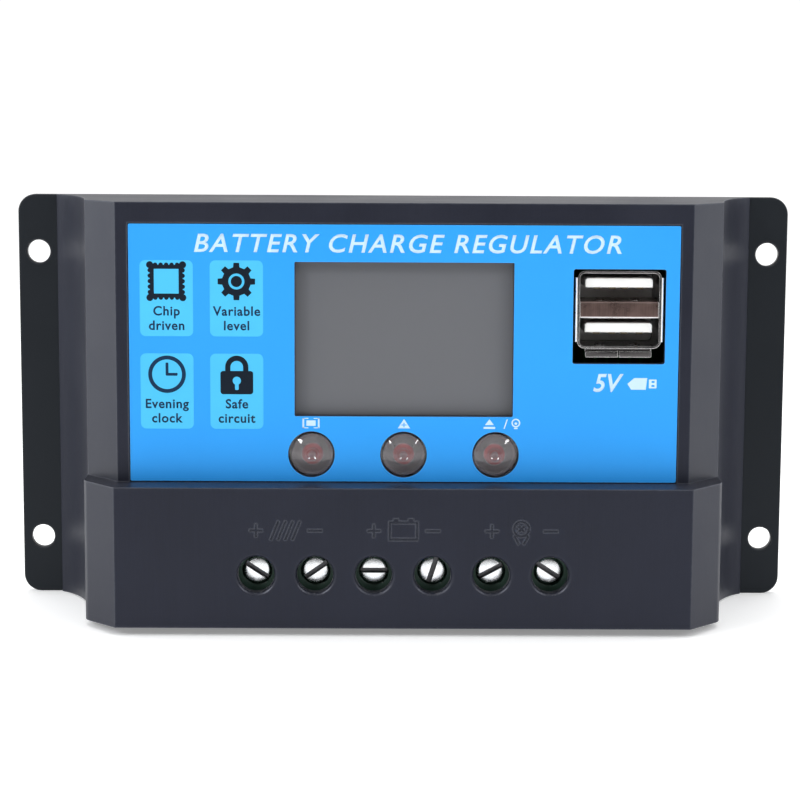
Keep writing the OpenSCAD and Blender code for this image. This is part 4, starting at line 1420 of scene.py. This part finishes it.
def stem_piece(x, z, radius, back, tip):
    """A switch stem with a rounded end and a shallow dish in it."""
    dish_r, dish_d = radius * 0.66, 0.2 * MM
    rounding = ((1, 0.45 * MM), (0.9, 0.2 * MM), (0.72, 0.04 * MM))
    dish = [(dish_r * t, tip - dish_d * (1 - t * t)) for t in (1, 0.8, 0.6, 0.4, 0.2, 0)]
    profile = [(0, back), (radius, back),
               *[(radius * part, tip - drop) for part, drop in rounding], *dish]
    return turn("stem", profile, x, z, 32)


class CONTROLLER_OT_buttons(bpy.types.Operator):
    """Models the domed clear caps and the red switch stems inside them"""

    bl_idname = "controller.buttons"
    bl_label = "Buttons"

    def execute(self, context):
        low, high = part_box("up_stem")
        x, z = middle("up_cap").x, middle("up_cap").z
        stem_r = (high.x - low.x) / 2
        cap = cap_piece(x, z, stem_r, -low.y)
        stem = stem_piece(x, z, stem_r, -high.y, -low.y)
        for part in (cap, stem):
            polish(part, 40)
        for name in BUTTONS:
            move = (middle(f"{name}_cap").x - x, 0, 0)
            body = f"{name}_button"
            fit(duplicate(cap, f"{name}_button_cap", move), body, clear_plastic(), "cap_clear",
                f"{name}_cap")
            fit(duplicate(stem, f"{name}_switch_stem", move), body, red_plastic(), "stem_red",
                f"{name}_stem")
        for part in (cap, stem):
            bpy.data.objects.remove(part)
        return {"FINISHED"}


def spring(name, x, z, depth):
    """A bulge of the sheet that grips the plug, as half of a flattened ball."""
    deselect()
    bpy.ops.mesh.primitive_uv_sphere_add(segments=24, ring_count=12, radius=1,
                                         location=(x, -depth, z),
                                         scale=(0.9 * MM, 2 * MM, 0.3 * MM))
    piece = settle(name)
    lean(piece, (x, -depth, z), (0, 0, -1))
    return piece


def springs(x, z, front):
    """The two springs side by side, behind the mouth of a port."""
    depth = 3.5 * MM
    return [spring("spring", x + side * SPRING_X, z, front - depth) for side in (-1, 1)]


def shell_piece():
    """The bent shell of the socket, with its side lips and the foot below."""
    x, z = middle("usb_divider").x, middle("usb_divider").z
    bend, inner_bend, edge, play = 1.2 * MM, 0.8 * MM, 0.1 * MM, 0.1 * MM
    w = BAND_HIGH.x - BAND_LOW.x + 2 * SHEET + play
    h = 2 * (SHELL_HIGH.z - z)
    back, front = -SHELL_HIGH.y, -SHELL_LOW.y
    shell = rounded("socket_shell", x, z, w, h, bend, back, front, 6)
    cut(shell, rounded("tool", x, z, w - 2 * SHEET, h - 2 * SHEET, inner_bend, back - MM,
                       front + MM, 6))
    round_edges(shell, edge, lambda e: (
        square(e) and all(v.co.y < -front + LEVEL for v in e.verts)))
    parts = [shell]
    lip_short, lip_l, lip_bend = 2.2 * MM, 0.9 * MM, 0.36 * MM
    # The lips sink a little into the shell, and stand clear of its front face
    sunk, proud = 0.02 * MM, 0.001 * MM
    for side in (-1, 1):
        lip = slab("lip", x + side * (w / 2 + SHEET / 2 - sunk), z, SHEET, h - lip_short,
                   front - lip_l, front + proud)
        outer_x = x + side * (w / 2 + SHEET - sunk)
        round_edges(lip, lip_bend, lambda e: all(
            abs(v.co.x - outer_x) < LEVEL and v.co.y < -front + LEVEL for v in e.verts), 4)
        parts.append(lip)
    parts += springs(x, z - h / 2 + SHEET, front)
    foot_h, foot_w, foot_low, foot_bend = 1.05 * MM, 10.8 * MM, SHELL_LOW.z, 0.3 * MM
    foot_back, foot_front, slit = front - 0.9 * MM, front - 0.5 * MM, 0.14 * MM
    foot = rounded("foot", x, foot_low + foot_h / 2, foot_w, foot_h, foot_bend, foot_back,
                   foot_front, 3)
    cut(foot, slab("tool", x, foot_low, slit, 4 * MM, front - 2 * MM, front + MM))
    parts.append(round_edges(foot, edge, square))
    neck_front, neck_back, neck_low, overlap = 1.2 * MM, 1.6 * MM, 0.3 * MM, 0.2 * MM
    parts.append(block("neck", (x - foot_w / 2, -front + neck_front, foot_low + neck_low),
                       (x + foot_w / 2, -front + neck_back, z - h / 2 + overlap)))
    piece = polish(join("socket_shell", parts))
    # The side lips get the lit copy, a painted highlight where their flare catches the light
    give_second(piece, shaded_nickel(), lit_nickel(),
                lambda face: abs(face.center.x - x) > w / 2 + sunk)
    return piece


def band_piece():
    """The folded band between the two ports, rounded where it is bent."""
    x, z = middle("usb_divider").x, middle("usb_divider").z
    w, h = BAND_HIGH.x - BAND_LOW.x, BAND_HIGH.z - BAND_LOW.z
    back, front = -BAND_HIGH.y, -BAND_LOW.y
    bend, bend_depth = 0.38 * MM, 0.5 * MM
    band = block("socket_band", BAND_LOW, BAND_HIGH)

    def bent(edge):
        a, b = edge.verts
        in_front = a.co.y < -front + LEVEL and b.co.y < -front + LEVEL
        return abs(a.co.x - b.co.x) > MM and in_front

    # Faces that turn down at the front bend, given the lit copy as a painted highlight of the
    # floor's light
    def lit(face):
        return face.normal.z < -0.25 and face.center.y < -front + bend_depth

    round_edges(band, bend, bent, 5)
    cut(band, slab("tool", x, z, w + MM, h - 2 * SHEET, back - MM, front - SHEET))
    piece = polish(join("socket_band", [band, *springs(x, BAND_HIGH.z, front)]))
    give_second(piece, band_painted_reflection(), lit_nickel(), lit)
    return piece


def tongue_piece():
    """The white body of the socket, with a tongue in each port."""
    x = middle("usb_insulator").x
    shell_z = middle("usb_divider").z
    core_gap, core_corner, play = 1.5 * MM, 0.8 * MM, 0.1 * MM
    tongue_w, tongue_t, tongue_rise, tongue_root = 11 * MM, 1.6 * MM, 0.7 * MM, 0.5 * MM
    end_bend, nose_bend = 0.5 * MM, 0.22 * MM
    groove_w, groove_t, groove_back, groove_front = 1.3 * MM, 0.5 * MM, 0.2 * MM, 0.5 * MM
    contact_xs = [dx * MM for dx in (-3.5, -1, 1, 3.5)]
    core_front = -BAND_HIGH.y - core_gap
    front = -CORE_LOW.y
    w, h = CORE_HIGH.x - CORE_LOW.x, CORE_HIGH.z - CORE_LOW.z
    core = rounded("socket_core", x, shell_z, w, h, core_corner, -CORE_HIGH.y, core_front, 4)
    parts = [core]
    rise = (BAND_HIGH.z - BAND_LOW.z) / 2
    port = (h + play) / 2 - rise
    for side in (-1, 1):
        z = shell_z + side * (rise + port / 2) + tongue_rise
        tongue = slab("tongue", x, z, tongue_w, tongue_t, core_front - tongue_root, front)

        def upper_ends(edge):
            a, b = edge.verts
            return abs(a.co.y - b.co.y) > MM and min(a.co.z, b.co.z) > z

        def nose(edge):
            return corner(edge, 0.3) and all(v.co.y < -front + LEVEL for v in edge.verts)

        round_edges(tongue, end_bend, upper_ends, 3)
        round_edges(tongue, nose_bend, nose, 3)
        grooves = [slab("tool", x + dx, z - tongue_t / 2, groove_w, groove_t,
                        core_front + groove_back, front - groove_front) for dx in contact_xs]
        parts.append(cut(tongue, *grooves))
    return polish(join("socket_core", parts))


class CONTROLLER_OT_socket(bpy.types.Operator):
    """Models the double charging socket"""

    bl_idname = "controller.socket"
    bl_label = "Charging socket"

    def execute(self, context):
        ride_as(shell_piece(), "housing", "usb_nickel", "usb_shell")
        ride_as(band_piece(), "housing", "usb_nickel", "usb_divider")
        fit(tongue_piece(), "housing", white_plastic(), "usb_white", "usb_insulator")
        return {"FINISHED"}


# ---- Terminals ----

# How far each slot is turned from level, in degrees
SLOT_ANGLES = (-33, 35, 0, 72, 28, -33)


def terminal_screw():
    """A slotted screw with a thread, at the first terminal and with its slot level."""
    x, z = middle("terminal_screw_1").x, middle("terminal_screw_1").z
    low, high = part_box("terminal_screw_1")
    back, front = -high.y, -low.y
    head_r, head_t, shank_r, neck = (high.x - low.x) / 2, 2.2 * MM, 1.7 * MM, 0.1 * MM
    pitch, crest, thread, lead_in, tip_in = 0.7 * MM, 0.12 * MM, 0.25 * MM, 0.4 * MM, 0.5 * MM
    rim, rim_drop, crown = 0.3 * MM, 0.1 * MM, 0.03 * MM
    slot_w, slot_d, bright_rim = 0.85 * MM, MM, 0.12 * MM
    head_back = front - head_t
    root_r = shank_r - thread
    profile = [(0, back), (shank_r - tip_in, back), (root_r, back + thread)]
    depth = back + lead_in
    while depth + pitch < head_back:
        profile += [(shank_r, depth), (shank_r, depth + crest), (root_r, depth + pitch / 2)]
        depth += pitch
    dome = [(head_r - rim + rim * math.cos(a), front - rim - rim_drop + rim * math.sin(a))
            for a in (math.pi / 2 * i / 4 for i in range(5))]
    profile += [(shank_r - neck, head_back), (head_r, head_back), *dome,
                (head_r * 0.5, front - crown), (0, front)]
    screw = turn("screw", profile, x, z, 48)
    cut(screw, slab("tool", x, z, 2.4 * head_r, slot_w, front - slot_d, front + MM))
    polish(screw, 32)
    # The slot's faces below its rim get the dark copy, as painted shade
    give_second(screw, screw_zinc(), slot_shade(), lambda face: (
        abs(face.center.z - z) < slot_w / 2 + LEVEL
        and head_back < -face.center.y < front - bright_rim))
    return screw


class CONTROLLER_OT_terminals(bpy.types.Operator):
    """Models the six terminal screws, their block and the clamp cages"""

    bl_idname = "controller.terminals"
    bl_label = "Terminals"

    def execute(self, context):
        screw = terminal_screw()
        about = middle("terminal_screw_1")
        for i, angle in zip(TERMINALS, SLOT_ANGLES):
            move = (middle(f"terminal_screw_{i + 1}").x - about.x, 0, 0)
            copy = duplicate(screw, f"clamp_screw_{i + 1}", move, math.radians(angle), about)
            ride_as(copy, f"screw_{i + 1}", "plated_steel", f"terminal_screw_{i + 1}")
        bpy.data.objects.remove(screw)
        green = node_copy("terminal_block", "green_block")
        polish(green)
        fit(green, "housing", block_green(), "block_green", "terminal_block")
        cage_edge = 0.12 * MM
        for i in TERMINALS:
            cage = node_copy(f"clamp_cage_{i + 1}", f"wire_cage_{i + 1}")
            round_edges(cage, cage_edge, square)
            polish(cage)
            fit(cage, f"clamp_{i + 1}", tinned_steel(), "tin", f"clamp_cage_{i + 1}")
        return {"FINISHED"}


# ---- Fixings at the back, and what is inside ----

class CONTROLLER_OT_fixings(bpy.types.Operator):
    """Models the countersunk screws that hold the cover to the plate"""

    bl_idname = "controller.fixings"
    bl_label = "Cover screws"

    def execute(self, context):
        low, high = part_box("housing_screws")
        head_r, head_edge, sunk, shank_r = 2.72 * MM, 0.12 * MM, 0.02 * MM, 1.45 * MM
        pitch, crest, thread, lead_in = 1.1 * MM, 0.5 * MM, 0.28 * MM, 0.4 * MM
        point_r, point_l = shank_r - 0.3 * MM, 0.9 * MM
        cross_l, cross_w, cross_d = 2.9 * MM, 0.65 * MM, 0.95 * MM
        plate_t, tip = -PLATE_LOW.y, -low.y
        corner_x, corner_z = high.x - COVER_HEAD, high.z - COVER_HEAD
        profile = [(0, sunk), (head_r - head_edge, sunk), (head_r, head_edge),
                   (shank_r, plate_t)]
        depth = plate_t + lead_in
        while depth + pitch < tip:
            profile += [(shank_r - thread, depth), (shank_r, depth + crest)]
            depth += pitch
        profile += [(point_r, tip - point_l), (0, tip)]
        screw = turn("screw", profile, corner_x, corner_z, 32)
        cut(screw, slab("tool", corner_x, corner_z, cross_l, cross_w, -MM, cross_d),
            slab("tool", corner_x, corner_z, cross_w, cross_l, -MM, cross_d))
        polish(screw, 32)
        # Each screw stopped at another angle
        screws = [duplicate(screw, "screw", ((sx - 1) * corner_x, 0, (sz - 1) * corner_z),
                            0.4 * sx + 0.9 * sz, (corner_x, 0, corner_z))
                  for sx, sz in CORNERS]
        bpy.data.objects.remove(screw)
        fit(join("cover_screws", screws), "housing", screw_zinc(), "plated_steel",
            "housing_screws")
        return {"FINISHED"}


class CONTROLLER_OT_inside(bpy.types.Operator):
    """Finishes the circuit board and the pieces on it"""

    bl_idname = "controller.inside"
    bl_label = "Inside"

    def execute(self, context):
        finishes = {
            backlight_white: ("display_backlight",),
            tinned_steel: ("display_pins", "transistor_tabs", "transistor_leads", "chip_leads",
                           "crystal_can"),
            board_lacquer: ("main_board",),
            dark_plastic: ("switch_bodies", "chip_resistors"),
            shaded_gold: ("usb_contacts",),
            brass: ("contact_bars", "shunt_strap"),
            pad_silicone: ("thermal_pad",),
            chip_epoxy: ("transistor_bodies", "microcontroller", "regulator_chip",
                         "power_diodes"),
            aluminium: ("transistor_clamp",),
            screw_zinc: ("clamp_screws", "board_screws"),
            can_sleeve: ("capacitors",),
            ferrite: ("inductor_core", "thermistor"),
            copper: ("inductor_winding",),
        }
        for made, nodes in finishes.items():
            for node in nodes:
                mesh = frame["nodes"][node].data
                mesh.materials.clear()
                mesh.materials.append(made())
        return {"FINISHED"}


# ---- Stage ----

def soft_light(name, place, aim, w, h, power, tone=(1, 1, 1)):
    """A rectangular lamp that points at a place."""
    deselect()
    bpy.ops.object.light_add(type="AREA", location=place)
    lamp = bpy.context.object
    lamp.name = name
    lamp.data.shape = "RECTANGLE"
    lamp.data.size, lamp.data.size_y = w, h
    lamp.data.energy = power
    lamp.data.color = tone
    lamp.rotation_euler = (Vector(aim) - Vector(place)).to_track_quat("-Z", "Y").to_euler()
    return lamp


class CONTROLLER_OT_stage(bpy.types.Operator):
    """Sets up the floor, the soft lights and the camera"""

    bl_idname = "controller.stage"
    bl_label = "Stage"

    def execute(self, context):
        settings = context.scene.controller_stage
        deselect()
        bpy.ops.mesh.primitive_plane_add(size=8, location=(0, 0, CAD_BOX[0].z))
        floor = settle("floor")
        floor.data.materials.append(finish("floor paper", (0.95, 0.95, 0.95), (0.6, 0.7),
                                           fine=400.0, slow=3.0, change=0.01, bump=0.02,
                                           Emission_Color=(1, 1, 1, 1), Emission_Strength=0.25))
        cool, cooler = (0.95, 0.98, 1), (0.9, 0.95, 1)
        key_x, key_y, key_z, key_size, catch_size = 0.62, -0.55, 0.52, 0.15, 0.3
        rear_x, rear_y, rear_z, rear_size = 0.7, 0.12, 0.1, 0.5
        for name, side, power in (("left key", -1, 1.5), ("right key", 1, 0.8)):
            soft_light(name, (side * key_x, key_y, key_z), (0, 0, 0), key_size, key_size, power,
                       cool)
        # These two show only as glints
        for name, side, power in (("left catch light", -1, 9), ("right catch light", 1, 6)):
            lamp = soft_light(name, (side * key_x, key_y, key_z), (0, 0, 0), catch_size,
                              catch_size, power)
            lamp.visible_diffuse = lamp.visible_transmission = False
        for name, side, power in (("left light", -1, 1.6), ("right light", 1, 0.95)):
            soft_light(name, (side * rear_x, rear_y, rear_z), (0, 0, 0), rear_size, rear_size,
                       power, cooler)
        soft_light("top light", (0, 0.15, 0.9), (0, 0, 0), 0.9, 0.6, 4)
        # A dark card under the camera, for the front to mirror
        card_w, card_h, card_y, card_z = 0.6, 0.25, -0.52, 0.09
        bpy.ops.mesh.primitive_plane_add(size=1, location=(0, card_y, card_z),
                                         rotation=(math.pi / 2, 0, 0))
        card = settle("dark_card")
        edit(card)
        bpy.ops.transform.resize(value=(card_w, 1, card_h))
        deselect()
        card.data.materials.append(finish("dark card", (0.02, 0.02, 0.021), (0.8, 0.9)))
        card.visible_camera = False
        world = bpy.data.worlds.new("studio")
        context.scene.world = world
        world.use_nodes = True
        tree = world.node_tree
        seen = add(tree, "LightPath").outputs["Is Camera Ray"]
        level = add(tree, "MapRange", {"Value": seen, "To Min": settings.world, "To Max": 1.05})
        sky = tree.nodes["Background"]
        sky.inputs["Color"].default_value = (1, 1, 1, 1)
        tree.links.new(level.outputs[0], sky.inputs["Strength"])
        context.scene.view_settings.view_transform = "Standard"
        deselect()
        bpy.ops.object.camera_add(location=settings.camera)
        camera = bpy.context.object
        camera.name = "camera"
        turn_to = (Matrix.Rotation(-settings.yaw, 4, "Z")
                   @ Matrix.Rotation(math.pi / 2 - settings.pitch, 4, "X")
                   @ Matrix.Rotation(settings.roll, 4, "Z"))
        camera.rotation_euler = turn_to.to_euler()
        camera.data.lens = settings.lens
        camera.data.sensor_width = 36
        camera.data.clip_start, camera.data.clip_end = 0.01, 20
        context.scene.camera = camera
        return {"FINISHED"}


class CONTROLLER_PT_sidebar(bpy.types.Panel):
    """Lists the controller's pieces"""

    bl_label = "Solar charge controller"
    bl_space_type = "VIEW_3D"
    bl_region_type = "UI"
    bl_category = "Controller"

    def draw(self, context):
        for operator in OPERATORS:
            self.layout.operator(operator.bl_idname)


OPERATORS = (
    CONTROLLER_OT_stage, CONTROLLER_OT_plate, CONTROLLER_OT_cover, CONTROLLER_OT_label,
    CONTROLLER_OT_printing, CONTROLLER_OT_display, CONTROLLER_OT_buttons, CONTROLLER_OT_socket,
    CONTROLLER_OT_terminals, CONTROLLER_OT_fixings, CONTROLLER_OT_inside,
)
SETTINGS = {
    "controller_cover": CoverSizes,
    "controller_panel": PanelSizes,
    "controller_print": PrintSizes,
    "controller_colours": FinishColours,
    "controller_stage": StageSettings,
}


def register():
    for kind in (*SETTINGS.values(), *OPERATORS, CONTROLLER_PT_sidebar):
        bpy.utils.register_class(kind)
    for name, kind in SETTINGS.items():
        setattr(bpy.types.Scene, name, PointerProperty(type=kind))


def unregister():
    for name in SETTINGS:
        delattr(bpy.types.Scene, name)
    for kind in (CONTROLLER_PT_sidebar, *reversed(OPERATORS), *reversed(SETTINGS.values())):
        bpy.utils.unregister_class(kind)


def main():
    """Builds every piece in turn."""
    register()
    for operator in OPERATORS:
        group, name = operator.bl_idname.split(".")
        getattr(getattr(bpy.ops, group), name)()


if __name__ == "__main__":
    main()
